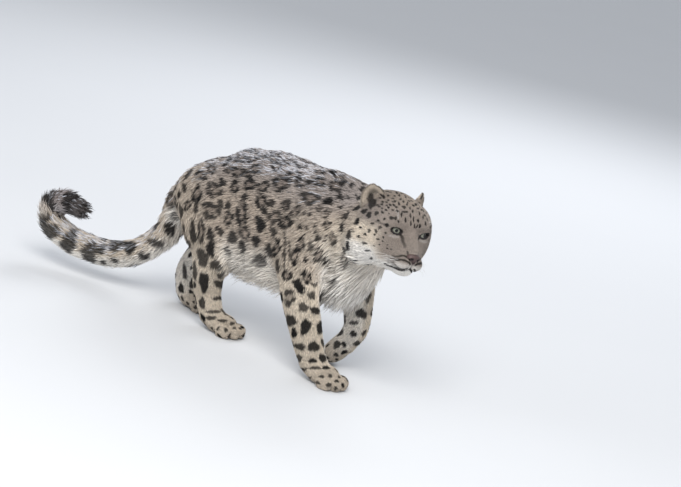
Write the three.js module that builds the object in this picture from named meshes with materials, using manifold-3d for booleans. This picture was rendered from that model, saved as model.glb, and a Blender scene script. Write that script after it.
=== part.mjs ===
// A life-size snow leopard, standing in mid-step with its head turned to its right.
// Millimetres, +Z up, +X towards the head, +Y to the animal's left. The paws rest on Z = 0.
// The outlines are those of the winter coat, out to its tips.
import * as THREE from "three";
import { mergeVertices } from "three/addons/utils/BufferGeometryUtils.js";
import Module from "manifold-3d";

const wasm = await Module();
wasm.setup();

// Driving dimensions
const SHOULDER_HEIGHT = 585; // top of the withers above the floor, coat included
const RUMP_X = -716; // where the trunk ends and the tail starts
const HEAD_SCALE = 1.17; // the head's own sizes below are for an average skull
const HEAD_AT = new THREE.Vector3(82, -54, 494); // middle of the head
const HEAD_YAW = -18; // degrees, to the animal's right
const HEAD_ROLL = -4.6;
const EYE_RADIUS = 17;
const GAP = 0.3; // kept between pieces that touch
const FAR = 4000; // longer than the animal

const vec = (x, y, z) => new THREE.Vector3(x, y, z);
const lerp = THREE.MathUtils.lerp;
const rad = THREE.MathUtils.degToRad;

// Fields: each is a function of a point that gives roughly its distance outside a form.

// Two forms joined with a fillet of about the given width.
function blend(a, b, width) {
  const near = Math.max(width - Math.abs(a - b), 0) / width;
  return Math.min(a, b) - (near * near * width) / 4;
}

function ellipsoid([x, y, z], [a, b, c]) {
  const least = Math.min(a, b, c);
  return (p) => {
    const dx = p.x - x;
    const dy = p.y - y;
    const dz = p.z - z;
    const far = Math.hypot(dx, dy, dz);
    const share = Math.hypot(dx / a, dy / b, dz / c);
    return share < 1e-6 ? -least : far * (1 - 1 / share);
  };
}

// A tube with elliptical sections. Each station is [x, y, z, half width across Y, half height in its own plane].
function limb(stations, samples = 5) {
  const line = new THREE.CatmullRomCurve3(stations.map(([x, y, z]) => vec(x, y, z)), false, "centripetal");
  const pieces = [];
  const last = stations.length - 1;
  const at = (t) => {
    const i = Math.min(Math.floor(t * last), last - 1);
    const s = THREE.MathUtils.smoothstep(t * last - i, 0, 1);
    return {
      p: line.getPoint(t),
      w: lerp(stations[i][3], stations[i + 1][3], lerp(t * last - i, s, 0.5)),
      h: lerp(stations[i][4], stations[i + 1][4], lerp(t * last - i, s, 0.5)),
    };
  };
  const count = last * samples;
  for (let i = 0; i < count; i++) {
    const a = at(i / count);
    const b = at((i + 1) / count);
    const along = b.p.clone().sub(a.p);
    const length = along.length();
    along.divideScalar(length);
    const side = vec(0, 1, 0).addScaledVector(along, -along.y).normalize();
    pieces.push({ a, b, along, length, side, up: along.clone().cross(side) });
  }
  const d = vec(0, 0, 0);
  return (p) => {
    let nearest = null;
    let found = Infinity;
    for (const piece of pieces) {
      d.copy(p).sub(piece.a.p);
      const t = THREE.MathUtils.clamp(d.dot(piece.along) / piece.length, 0, 1);
      const distance = d.addScaledVector(piece.along, -t * piece.length).lengthSq();
      if (distance < found) {
        found = distance;
        nearest = { piece, t };
      }
    }
    const { a, b, along, length, side, up } = nearest.piece;
    const w = lerp(a.w, b.w, nearest.t);
    const h = lerp(a.h, b.h, nearest.t);
    d.copy(p).sub(a.p).addScaledVector(along, -nearest.t * length);
    const share = Math.hypot(d.dot(side) / w, d.dot(up) / h, (2 * d.dot(along)) / (w + h));
    return share < 1e-6 ? -Math.min(w, h) : d.length() * (1 - 1 / share);
  };
}

// Trunk and neck
const trunkLine = limb([
  [RUMP_X, 0, 336, 58, 58],
  [RUMP_X + 50, 0, 366, 92, 86],
  [-596, 0, 380, 120, 130],
  [-500, 0, 386, 136, 184],
  [-400, 0, 386, 142, 203],
  [-300, 0, 390, 141, 200],
  [-205, 0, SHOULDER_HEIGHT - 181, 132, 184],
  [-130, 0, 405, 118, 166],
  [-68, 0, 392, 96, 142],
]);
const neckLine = limb([
  [-150, 0, 455, 104, 118],
  [-60, -14, 462, 104, 118],
  [10, -40, 474, 100, 110],
]);
const brisket = ellipsoid([-105, 0, 298], [92, 74, 78]);
const trunk = (p) => blend(blend(trunkLine(p), neckLine(p), 60), brisket(p), 50);

// Head, in its own axes: x towards the nose, y left, z up, from the middle of the skull
const bothSides = ([x, y, z], radii) => {
  const left = ellipsoid([x, y, z], radii);
  return (p) => left({ x: p.x, y: Math.abs(p.y), z: p.z });
};
const skullForms = [
  [ellipsoid([-8, 0, 28], [78, 78, 68]), 0],
  [ellipsoid([40, 0, 42], [42, 52, 38]), 26],
  [bothSides([20, 49, 24], [42, 34, 44]), 24],
  [bothSides([14, 51, -18], [54, 41, 54]), 30],
  [bothSides([-12, 54, -52], [46, 32, 42]), 30],
  [bothSides([50, 26, -36], [42, 28, 34]), 26],
  [ellipsoid([34, 0, -54], [58, 44, 38]), 26],
  [ellipsoid([72, 0, -45], [43, 37, 31]), 18],
  [limb([[48, 0, 22, 26, 18], [80, 0, 0, 20, 15], [103, 0, -21, 16, 13]]), 14],
  [bothSides([94, 18, -52], [24, 21, 19]), 9],
  [bothSides([58, 38, 37], [20, 22, 11]), 18],
  [ellipsoid([79, 0, -75], [24, 25, 15]), 10],
];
const headTurn = new THREE.Matrix4()
  .makeRotationFromEuler(new THREE.Euler(rad(HEAD_ROLL), 0, rad(HEAD_YAW), "ZYX"))
  .scale(vec(HEAD_SCALE, HEAD_SCALE, HEAD_SCALE))
  .setPosition(HEAD_AT);
const headUnturn = headTurn.clone().invert();
const inHead = (x, y, z) => vec(x, y, z).applyMatrix4(headTurn);
const local = vec(0, 0, 0);
function skull(p) {
  local.copy(p).applyMatrix4(headUnturn);
  let d = Infinity;
  for (const [form, width] of skullForms) {
    d = d === Infinity ? form(local) : blend(d, form(local), width);
  }
  return d * HEAD_SCALE;
}

// Legs: the stations run from the shoulder or hip to the ankle. A paw has its own place and heading.
const legs = {
  foreleg_right: {
    stations: [[-175, -70, 425, 60, 92], [-178, -98, 330, 58, 76], [-160, -106, 255, 54, 64],
      [-118, -104, 165, 50, 54], [-84, -100, 100, 46, 48], [-58, -96, 56, 43, 43]],
    paw: { at: [-12, -93, 27], heading: -3, pitch: 0 },
    fillet: 60,
  },
  foreleg_left: {
    stations: [[-170, 70, 425, 60, 90], [-150, 98, 330, 54, 70], [-104, 100, 262, 48, 56],
      [-76, 94, 190, 43, 46], [-67, 90, 138, 38, 41], [-86, 89, 92, 35, 36]],
    paw: { at: [-116, 89, 58], heading: 0, pitch: 126 },
    fillet: 60,
  },
  hindleg_right: {
    stations: [[-618, -60, 388, 64, 100], [-562, -84, 315, 60, 94], [-530, -76, 235, 52, 72],
      [-535, -60, 150, 44, 53], [-525, -52, 92, 39, 44], [-504, -50, 50, 39, 39]],
    paw: { at: [-458, -47, 27], heading: 4, pitch: 0 },
    fillet: 70,
  },
  hindleg_left: {
    stations: [[-630, 62, 385, 66, 100], [-622, 92, 310, 60, 92], [-640, 94, 235, 50, 68],
      [-696, 84, 168, 41, 48], [-726, 74, 100, 38, 41], [-712, 70, 52, 39, 39]],
    paw: { at: [-668, 67, 27], heading: 6, pitch: 0 },
    fillet: 70,
  },
};
const PAW_LENGTH = 128;
const PAW_WIDTH = 96;
const TOE_WIDTH = PAW_WIDTH / 3.6;
const pawForms = [
  [ellipsoid([0, 0, 2], [PAW_LENGTH * 0.42, PAW_WIDTH * 0.46, 34]), 0],
];
for (const [across, reach] of [[-1.45, 0.3], [-0.5, 0.42], [0.5, 0.42], [1.45, 0.3]]) {
  const toeAt = [PAW_LENGTH * reach, across * TOE_WIDTH, -10];
  pawForms.push([ellipsoid(toeAt, [TOE_WIDTH * 1.1, TOE_WIDTH * 0.6, 22]), 10]);
}
for (const leg of Object.values(legs)) {
  leg.line = limb(leg.stations);
  leg.turn = new THREE.Matrix4()
    .makeRotationFromEuler(new THREE.Euler(0, rad(leg.paw.pitch), rad(leg.paw.heading), "ZYX"))
    .setPosition(vec(...leg.paw.at));
  leg.unturn = leg.turn.clone().invert();
  leg.field = (p) => {
    const q = vec(p.x, p.y, p.z).applyMatrix4(leg.unturn);
    let foot = pawForms[0][0](q);
    if (foot > 150) return Math.min(leg.line(p), foot);
    for (const [form, width] of pawForms.slice(1)) foot = blend(foot, form(q), width);
    return blend(leg.line(p), foot, 22);
  };
}

// Tail: [x, y, z, radius]
const tailStations = [
  [-715, 0, 358, 54], [-752, -2, 302, 50], [-770, -6, 232, 48], [-806, -20, 174, 46],
  [-858, -40, 128, 46], [-920, -60, 103, 47], [-998, -80, 94, 47], [-1080, -100, 102, 47],
  [-1142, -114, 130, 46], [-1158, -120, 176, 45], [-1116, -122, 208, 43], [-1048, -120, 211, 35],
];
const tailLine = limb(tailStations.map(([x, y, z, r]) => [x, y, z, r, r]), 3);

function body(p) {
  const core = trunk(p);
  let d = core;
  for (const leg of Object.values(legs)) d = Math.min(d, blend(core, leg.field(p), leg.fillet));
  d = Math.min(d, blend(core, skull(p), 50));
  return Math.min(d, blend(core, tailLine(p), 45));
}

// Solids

function solidOf(geometry) {
  const plain = new THREE.BufferGeometry().setAttribute("position", geometry.getAttribute("position"));
  if (geometry.index) plain.setIndex(geometry.index);
  const merged = mergeVertices(plain, 1e-3);
  return new wasm.Manifold(
    new wasm.Mesh({
      numProp: 3,
      vertProperties: new Float32Array(merged.attributes.position.array),
      triVerts: new Uint32Array(merged.index.array),
    }),
  );
}

function geometryOf(solid) {
  const { numProp, vertProperties, triVerts } = solid.getMesh();
  const points = new Float32Array((vertProperties.length / numProp) * 3);
  for (let i = 0; i < points.length / 3; i++) {
    points.set(vertProperties.subarray(i * numProp, i * numProp + 3), i * 3);
  }
  return new THREE.BufferGeometry()
    .setAttribute("position", new THREE.BufferAttribute(points, 3))
    .setIndex(new THREE.BufferAttribute(triVerts, 1));
}

const CORNERS = [[0, 0, 0], [1, 0, 0], [0, 1, 0], [1, 1, 0], [0, 0, 1], [1, 0, 1], [0, 1, 1], [1, 1, 1]];
const EDGES = [[0, 1], [2, 3], [4, 5], [6, 7], [0, 2], [1, 3], [4, 6], [5, 7], [0, 4], [1, 5], [2, 6], [3, 7]];

// The groups that a cell's inside corners form along its edges, or its outside corners.
function cornerGroups(v, inside) {
  const group = v.map((x, n) => (x < 0 === inside ? n : -1));
  for (let pass = 0; pass < 7; pass++) {
    for (const [a, b] of EDGES) {
      if (group[a] >= 0 && group[b] >= 0) group[a] = group[b] = Math.min(group[a], group[b]);
    }
  }
  return group;
}

// The corner of a cell to turn over where two sheets of the surface would meet in it, or -1.
function cornerInDoubt(v) {
  for (const inside of [true, false]) {
    const group = cornerGroups(v, inside);
    const names = [...new Set(group.filter((g) => g >= 0))];
    if (names.length < 2) continue;
    const sizes = names.map((name) => group.filter((g) => g === name).length);
    const small = names[sizes.indexOf(Math.min(...sizes))];
    return group.reduce((best, g, n) => (g === small && (best < 0 || Math.abs(v[n]) < Math.abs(v[best])) ? n : best), -1);
  }
  return -1;
}

// The closed surface where a field is zero inside a box, with cells of the given size.
function surface(field, low, high, step) {
  const count = [0, 1, 2].map((i) => Math.ceil((high[i] - low[i]) / step) + 3);
  const [nx, ny, nz] = count;
  const start = low.map((v) => v - step);
  const p = vec(0, 0, 0);
  const inBox = () =>
    Math.max(low[0] - p.x, p.x - high[0], low[1] - p.y, p.y - high[1], low[2] - p.z, p.z - high[2]);
  const value = (q) => {
    p.copy(q);
    const edge = inBox();
    return edge > step * 2 ? edge : Math.max(edge, field(p));
  };
  const id = (i, j, k) => (k * ny + j) * nx + i;
  const values = new Float32Array(nx * ny * nz);
  const q = vec(0, 0, 0);
  for (let k = 0; k < nz; k++) {
    for (let j = 0; j < ny; j++) {
      for (let i = 0; i < nx; i++) {
        q.set(start[0] + i * step, start[1] + j * step, start[2] + k * step);
        values[id(i, j, k)] = value(q) || 1e-6;
      }
    }
  }
  const points = [];
  const cellPoint = new Int32Array(nx * ny * nz).fill(-1);
  const eachCell = (visit) => {
    for (let k = 0; k < nz - 1; k++) {
      for (let j = 0; j < ny - 1; j++) {
        for (let i = 0; i < nx - 1; i++) {
          const v = CORNERS.map(([a, b, c]) => values[id(i + a, j + b, k + c)]);
          const inside = v.filter((x) => x < 0).length;
          if (inside > 0 && inside < 8) visit(i, j, k, v);
        }
      }
    }
  };
  for (let turned = 1, pass = 0; turned && pass < 8; pass++) {
    turned = 0;
    eachCell((i, j, k, v) => {
      const n = cornerInDoubt(v);
      if (n < 0) return;
      const [a, b, c] = CORNERS[n];
      values[id(i + a, j + b, k + c)] = v[n] < 0 ? step * 0.05 : -step * 0.05;
      turned++;
    });
  }
  eachCell((i, j, k, v) => {
    let n = 0;
    const sum = [0, 0, 0];
    for (const [a, b] of EDGES) {
      if (v[a] < 0 === v[b] < 0) continue;
      const t = v[a] / (v[a] - v[b]);
      for (let axis = 0; axis < 3; axis++) sum[axis] += lerp(CORNERS[a][axis], CORNERS[b][axis], t);
      n++;
    }
    cellPoint[id(i, j, k)] = points.length;
    points.push(vec(i + sum[0] / n, j + sum[1] / n, k + sum[2] / n).multiplyScalar(step).add(vec(...start)));
  });
  const faces = [];
  const sums = points.map(() => vec(0, 0, 0));
  const shares = points.map(() => 0);
  const quad = (a, b, c, d, flip) => {
    if (flip) faces.push(a, c, b, a, d, c);
    else faces.push(a, b, c, a, c, d);
    for (const [from, to] of [[a, b], [b, c], [c, d], [d, a]]) {
      sums[from].add(points[to]);
      sums[to].add(points[from]);
      shares[from]++;
      shares[to]++;
    }
  };
  for (let k = 1; k < nz - 1; k++) {
    for (let j = 1; j < ny - 1; j++) {
      for (let i = 1; i < nx - 1; i++) {
        const here = values[id(i, j, k)] < 0;
        const c = (a, b, d) => cellPoint[id(i + a, j + b, k + d)];
        if (here !== values[id(i + 1, j, k)] < 0) {
          quad(c(0, -1, -1), c(0, 0, -1), c(0, 0, 0), c(0, -1, 0), !here);
        }
        if (here !== values[id(i, j + 1, k)] < 0) {
          quad(c(-1, 0, -1), c(-1, 0, 0), c(0, 0, 0), c(0, 0, -1), !here);
        }
        if (here !== values[id(i, j, k + 1)] < 0) {
          quad(c(-1, -1, 0), c(0, -1, 0), c(0, 0, 0), c(-1, 0, 0), !here);
        }
      }
    }
  }
  const even = points.map((at, n) => at.clone().lerp(sums[n].divideScalar(shares[n]), 0.5));
  const reach = step * 0.25;
  const ways = [vec(reach, 0, 0), vec(0, reach, 0), vec(0, 0, reach)];
  for (const at of even) {
    const v = value(at);
    const slope = vec(...ways.map((w) => (value(q.copy(at).add(w)) - value(q.copy(at).sub(w))) / (2 * reach)));
    const steep = Math.max(slope.lengthSq(), 0.2);
    at.addScaledVector(slope, -THREE.MathUtils.clamp(v / steep, -step * 0.3, step * 0.3));
  }
  const geometry = new THREE.BufferGeometry()
    .setAttribute("position", new THREE.BufferAttribute(new Float32Array(even.flatMap((a) => [a.x, a.y, a.z])), 3))
    .setIndex(new THREE.BufferAttribute(new Uint32Array(faces), 1));
  return largest(solidOf(geometry));
}

function largest(solid) {
  return solid.decompose().reduce((a, b) => (b.volume() > a.volume() ? b : a));
}

// A big block on the far side of a plane, half the gap short of it, to cut with.
function beyond(point, normal) {
  const n = normal.clone().normalize();
  const block = new THREE.BoxGeometry(FAR, FAR, FAR);
  block.applyQuaternion(new THREE.Quaternion().setFromUnitVectors(vec(0, 0, 1), n));
  const away = point.clone().addScaledVector(n, FAR / 2 - GAP / 2);
  block.translate(away.x, away.y, away.z);
  return solidOf(block);
}
const keepBehind = (solid, point, normal) => solid.subtract(beyond(point, normal));

// A closed tube with round ends cut square, whose radius is a function of 0 to 1 along the curve.
function sweep(curve, radius, sides, steps, flat = 1, wide = vec(0, 1, 0)) {
  const points = [];
  const faces = [];
  for (let i = 0; i <= steps; i++) {
    const t = i / steps;
    const at = curve.getPoint(t);
    const along = curve.getTangent(t);
    const across = wide.clone().addScaledVector(along, -wide.dot(along)).normalize();
    const up = along.clone().cross(across);
    for (let s = 0; s < sides; s++) {
      const turn = (s / sides) * Math.PI * 2;
      const p = at.clone();
      p.addScaledVector(across, Math.cos(turn) * radius(t));
      p.addScaledVector(up, Math.sin(turn) * radius(t) * flat);
      points.push(p.x, p.y, p.z);
    }
  }
  for (let i = 0; i < steps; i++) {
    for (let s = 0; s < sides; s++) {
      const a = i * sides + s;
      const b = i * sides + ((s + 1) % sides);
      faces.push(a, b, b + sides, a, b + sides, a + sides);
    }
  }
  for (const [ring, t, flip] of [[0, 0, true], [steps, 1, false]]) {
    const middle = points.length / 3;
    const at = curve.getPoint(t);
    points.push(at.x, at.y, at.z);
    for (let s = 0; s < sides; s++) {
      const a = ring * sides + s;
      const b = ring * sides + ((s + 1) % sides);
      faces.push(middle, ...(flip ? [b, a] : [a, b]));
    }
  }
  return new THREE.BufferGeometry()
    .setAttribute("position", new THREE.BufferAttribute(new Float32Array(points), 3))
    .setIndex(new THREE.BufferAttribute(new Uint32Array(faces), 1));
}

// Materials
const finish = (colour, roughness) =>
  new THREE.MeshStandardMaterial({ color: colour, roughness, metalness: 0 });
const coat = finish(0xa79f92, 0.95);
const paleCoat = finish(0xe4ddd2, 0.95);
const earCoat = finish(0x8f877c, 0.95);
const eyeGloss = finish(0x8f9a78, 0.15);
const noseLeather = finish(0x8a6a66, 0.6);

const group = new THREE.Group();
function place(name, solid, material) {
  const outer = largest(solidOf(geometryOf(largest(solid))));
  const mesh = new THREE.Mesh(geometryOf(outer), material);
  mesh.name = name;
  group.add(mesh);
}

// Where the body is parted. Each cut is a plane: a point on it and the way beyond it.
const cut = (at, towards) => ({ at: vec(...at), towards: vec(...towards).normalize() });
const headAxis = (x, y, z) => inHead(x, y, z).sub(inHead(0, 0, 0)).normalize();
const neckCut = cut([-45, -10, 500], [0.69, -0.1, 0.72]);
const headCut = { at: inHead(-50, 0, 0), towards: headAxis(1, 0, 0.35) };
const tailCut = cut([-764, -4, 252], [-0.3, 0, -0.95]);
const legTops = {
  foreleg_right: cut([-130, -60, 226], [0, -0.5, -0.866]),
  foreleg_left: cut([-130, 60, 226], [0, 0.5, -0.866]),
  hindleg_right: cut([-560, -60, 236], [-0.1, -0.5, -0.86]),
  hindleg_left: cut([-600, 60, 236], [-0.1, 0.5, -0.86]),
};
const ankles = {
  foreleg_right: cut([-58, -97, 58], [0.45, 0, -0.89]),
  foreleg_left: cut([-82, 89, 98], [-0.45, 0, -0.89]),
  hindleg_right: cut([-512, -50, 56], [0.45, 0, -0.89]),
  hindleg_left: cut([-714, 70, 58], [0.45, 0, -0.89]),
};
const back = ({ at, towards }) => ({ at, towards: towards.clone().negate() });
const keep = (solid, ...cuts) => cuts.reduce((s, c) => s.subtract(beyond(c.at, c.towards)), solid);
const floorCut = cut([0, 0, -GAP / 2], [0, 0, -1]);

// Sizes of the cells that each region is meshed with
const TRUNK_CELL = 37;
const NECK_CELL = 24;
const HEAD_CELL = 17;
const FACE_CELL = 11.7;
const LEG_CELL = 23;
const PAW_CELL = 13.8;

// Long coat: locks that are flat and tapered, root in the coat, bending down and back to a tip
let seed = 20;
const random = () => {
  seed = (seed * 16807) % 2147483647;
  return seed / 2147483647;
};
const slopeAt = (field, p) =>
  vec(
    ...[vec(4, 0, 0), vec(0, 4, 0), vec(0, 0, 4)].map((w) => field(p.clone().add(w)) - field(p.clone().sub(w))),
  ).normalize();
function lock(field, from, flow, length, width, lift) {
  const root = from.clone();
  for (let n = 0; n < 8; n++) root.addScaledVector(slopeAt(field, root), -field(root));
  const out = slopeAt(field, root);
  const along = flow.clone().addScaledVector(out, -flow.dot(out)).normalize();
  along.addScaledVector(out.clone().cross(along), (random() - 0.5) * 0.5).normalize();
  const across = out.clone().cross(along);
  const points = [];
  const stretch = length * (0.8 + 0.4 * random());
  for (const [t, wide, high] of [[0, 0.75, -9], [0.36, 1, 0.45 * lift], [0.72, 0.62, 0.9 * lift]]) {
    const at = root.clone().addScaledVector(along, t * stretch).addScaledVector(out, high);
    const depth = 3.5 + 3 * (1 - t);
    points.push(at.clone().addScaledVector(across, (wide * width) / 2), at.clone().addScaledVector(out, depth));
    points.push(at.clone().addScaledVector(across, (-wide * width) / 2), at.clone().addScaledVector(out, -depth));
  }
  points.push(root.clone().addScaledVector(along, stretch).addScaledVector(out, lift * 0.8));
  const faces = [0, 2, 1, 0, 3, 2];
  for (let ring = 0; ring < 2; ring++) {
    for (let n = 0; n < 4; n++) {
      const a = ring * 4 + n;
      const b = ring * 4 + ((n + 1) % 4);
      faces.push(a, b, a + 4, b, b + 4, a + 4);
    }
  }
  for (let n = 0; n < 4; n++) faces.push(8 + n, 8 + ((n + 1) % 4), 12);
  const geometry = new THREE.BufferGeometry()
    .setAttribute("position", new THREE.BufferAttribute(new Float32Array(points.flatMap((a) => [a.x, a.y, a.z])), 3))
    .setIndex(new THREE.BufferAttribute(new Uint32Array(faces), 1));
  return solidOf(geometry);
}

// Rows of locks: [from, to, count, flow, length, width, lift], the ends on or near the skin
const fringe = [
  [[-392, -66, 195], [-304, -66, 195], 4, [-0.8, 0, -0.5], 64, 38, 11],
  [[-392, 66, 195], [-304, 66, 195], 4, [-0.8, 0, -0.5], 64, 38, 11],
  [[-386, 0, 170], [-306, 0, 170], 3, [-0.9, 0, -0.2], 64, 44, 10],
  [[-8, -56, 340], [-40, -46, 262], 3, [-0.2, 0, -1], 66, 38, 11],
  [[-8, 40, 340], [-40, 46, 262], 3, [-0.2, 0, -1], 66, 38, 11],
  [[36, -20, 385], [-40, 0, 240], 5, [-0.2, 0, -1], 74, 42, 11],
];
const ruff = [-1, 1].flatMap((side) =>
  [[-34, 60, 8], [-30, 66, -18], [-26, 66, -44], [-14, 56, -66], [-58, 62, -8], [-52, 60, -38]].map(([x, y, z]) => ({
    from: inHead(x, y * side, z),
    flow: headAxis(-0.75, 0.15 * side, -0.65),
  })),
);
const bodyLocks = fringe.flatMap(([from, to, count, flow, length, width, lift]) =>
  Array.from({ length: count }, (_, n) => {
    const at = vec(...from).lerp(vec(...to), count > 1 ? (n + 0.6 * (random() - 0.5)) / (count - 1) : 0.5);
    return lock(body, at, vec(...flow), length, width, lift);
  }),
);
const ruffLocks = ruff.map(({ from, flow }) => lock(body, from, flow, 58, 36, 11));
const longCoat = wasm.Manifold.union([...bodyLocks, ...ruffLocks]);

// The space of each leg: beside the keel, between two heights and beyond its top plane
const KEEL_HALF = 12;
const BELLY_Z = 173; // just under the lowest point of the belly
const boxOf = (low, high) => {
  const size = vec(...high).sub(vec(...low));
  const block = new THREE.BoxGeometry(size.x, size.y, size.z);
  return solidOf(block.translate(...vec(...low).addScaledVector(size, 0.5).toArray()));
};
for (const [name, leg] of Object.entries(legs)) {
  const xs = leg.stations.slice(1).map(([x]) => x);
  leg.side = name.endsWith("left") ? 1 : -1;
  leg.reach = [Math.min(...xs) - 108, Math.max(...xs) + 108];
  leg.space = (grow) => {
    const ys = [KEEL_HALF - grow, 240].map((y) => y * leg.side).sort((a, b) => a - b);
    return boxOf([leg.reach[0] - grow, ys[0], 0], [leg.reach[1] + grow, ys[1], 340]);
  };
}

// Trunk: the body without neck, tail and the legs below the armpit and the groin
let torso = surface(body, [-830, -230, 120], [90, 230, 640], TRUNK_CELL).add(longCoat);
torso = keep(torso, neckCut, tailCut);
for (const [name, top] of Object.entries(legTops)) {
  torso = torso.subtract(beyond(top.at, top.towards).intersect(legs[name].space(GAP / 2)));
}
place("torso", torso, coat);
const neck = surface(body, [-190, -190, 330], [120, 150, 640], NECK_CELL).add(longCoat);
place("neck", keep(neck, back(neckCut), headCut), coat);

// Legs and paws
for (const [name, leg] of Object.entries(legs)) {
  const low = [leg.reach[0] - 4, leg.side > 0 ? 1 : -200, 20];
  const high = [leg.reach[1] + 4, leg.side > 0 ? 200 : -1, 330];
  const limbSolid = surface((p) => blend(trunk(p), leg.field(p), leg.fillet), low, high, LEG_CELL);
  const upper = keep(limbSolid.intersect(leg.space(-GAP / 2)), back(legTops[name]));
  const lower = keep(limbSolid, cut([0, 0, BELLY_Z], [0, 0, 1]));
  place(name, keep(upper.add(lower), ankles[name]), coat);
  const [px, py, pz] = leg.paw.at;
  const pawSolid = surface(leg.field, [px - 120, py - 75, -14], [px + 105, py + 75, pz + 90], PAW_CELL);
  place(name.replace("leg", "paw"), keep(pawSolid, back(ankles[name]), floorCut), coat);
}

// Tail, in four lengths
const TAIL_SIDES = 10;
const tailCurve = new THREE.CatmullRomCurve3(tailStations.map(([x, y, z]) => vec(x, y, z)), false, "centripetal");
const tailRadius = (t) => {
  const at = t * (tailStations.length - 1);
  const i = Math.min(Math.floor(at), tailStations.length - 2);
  const radius = lerp(tailStations[i][3], tailStations[i + 1][3], at - i);
  return t > 0.96 ? radius * Math.sqrt(Math.max(0.02, 1 - ((t - 0.96) / 0.04) ** 2)) : radius;
};
const TAIL_LOCKS = 33;
const tailLocks = Array.from({ length: TAIL_LOCKS }, (_, n) => {
  const t = 0.16 + 0.78 * (n / TAIL_LOCKS);
  const along = tailCurve.getTangent(t);
  const across = vec(0, 1, 0).addScaledVector(along, -along.y).normalize();
  const turn = n * 2.4 + random();
  const from = tailCurve.getPoint(t).addScaledVector(across, Math.cos(turn) * tailRadius(t));
  from.addScaledVector(along.clone().cross(across), Math.sin(turn) * tailRadius(t));
  return lock(tailLine, from, along, 44, 30, 6);
});
const tailSolid = wasm.Manifold.union([solidOf(sweep(tailCurve, tailRadius, TAIL_SIDES, 34)), ...tailLocks]);
const tailBreaks = [0.3, 0.54, 0.77];
const tailPlanes = tailBreaks.map((t) => ({ at: tailCurve.getPoint(t), towards: tailCurve.getTangent(t) }));
const nearTail = (from, to) => {
  const found = new THREE.Box3();
  for (let t = from; t <= to + 0.001; t += 0.01) found.expandByPoint(tailCurve.getPoint(Math.min(t, 1)));
  found.expandByScalar(58);
  return boxOf(found.min.toArray(), found.max.toArray());
};
[0, ...tailBreaks].forEach((from, i) => {
  const to = tailBreaks[i] ?? 1;
  let length = tailSolid.intersect(nearTail(from, to));
  length = keep(length, back(i ? tailPlanes[i - 1] : tailCut));
  if (tailPlanes[i]) length = keep(length, tailPlanes[i]);
  place(`tail_${i + 1}`, length, coat);
});

// Head, with lids, nostrils and the line of the mouth
const HEAD_BOX = [[-40, -205, 350], [250, 105, 640]];
const headField = (p) => blend(trunk(p), skull(p), 50);
const FACE_BOX = [[70, -180, 370], [250, 65, 620]];
const faceCut = { at: inHead(44, 0, 0), towards: headAxis(1, 0, 0) };
const headFrom = (grow) => surface((p) => headField(p) - grow, ...HEAD_BOX, HEAD_CELL);
const faceFrom = (grow) => surface((p) => headField(p) - grow, ...FACE_BOX, FACE_CELL);
place("head", keep(headFrom(0).add(longCoat), back(neckCut), back(headCut), faceCut), coat);
const headGrown = headFrom(GAP * 3);
const faceGrown = faceFrom(GAP * 3);

const ball = (radius, at, around = 14) => {
  const g = new THREE.SphereGeometry(radius, around, Math.round(around * 0.6));
  return solidOf(g.translate(at.x, at.y, at.z));
};
let face = keep(faceFrom(0), back(neckCut), back(faceCut));
for (const [sideName, side] of [["left", 1], ["right", -1]]) {
  const centre = inHead(57.5, 38 * side, 17);
  const gaze = headAxis(0.9, 0.34 * side, -0.06);
  const frame = new THREE.Matrix4().lookAt(gaze, vec(0, 0, 0), headAxis(0.15, 0.3 * side, 1));
  frame.setPosition(centre);
  const almond = new THREE.Shape()
    .moveTo(-16, -2 * side)
    .quadraticCurveTo(-3 * side, 18, 16, 2 * side)
    .quadraticCurveTo(2 * side, -17, -16, -2 * side);
  const opening = new THREE.ExtrudeGeometry(almond, { depth: 40, bevelEnabled: false, curveSegments: 5 });
  const front = { at: centre.clone().addScaledVector(gaze, -3), towards: gaze.clone().negate() };
  const lids = keep(ball(EYE_RADIUS + 3.4, centre), front);
  const socket = keep(ball(EYE_RADIUS + GAP, centre), front);
  const eye = keep(ball(EYE_RADIUS, centre), { ...front, at: front.at.clone().addScaledVector(gaze, GAP) });
  face = face.add(keep(lids, back(faceCut))).subtract(solidOf(opening.applyMatrix4(frame))).subtract(socket);
  place(`eye_${sideName}`, eye, eyeGloss);
}

// Ears: a rounded cup, as a stack of crescents from its root to its rim
const EAR_HEIGHT = 68;
const EAR_HALF_WIDTH = 35;
const EAR_DEPTH = 22;
function loft(rings) {
  const points = rings.flat().flatMap((p) => [p.x, p.y, p.z]);
  const faces = [];
  const n = rings[0].length;
  for (let i = 0; i < rings.length - 1; i++) {
    for (let s = 0; s < n; s++) {
      const a = i * n + s;
      const b = i * n + ((s + 1) % n);
      faces.push(a, b, b + n, a, b + n, a + n);
    }
  }
  const lastRing = (rings.length - 1) * n;
  for (let s = 1; s < n / 2; s++) {
    const t = n - 1 - s;
    faces.push(s, s - 1, t + 1, s, t + 1, t);
    faces.push(lastRing + s - 1, lastRing + s, lastRing + t + 1, lastRing + s, lastRing + t, lastRing + t + 1);
  }
  return new THREE.BufferGeometry()
    .setAttribute("position", new THREE.BufferAttribute(new Float32Array(points), 3))
    .setIndex(new THREE.BufferAttribute(new Uint32Array(faces), 1));
}
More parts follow.
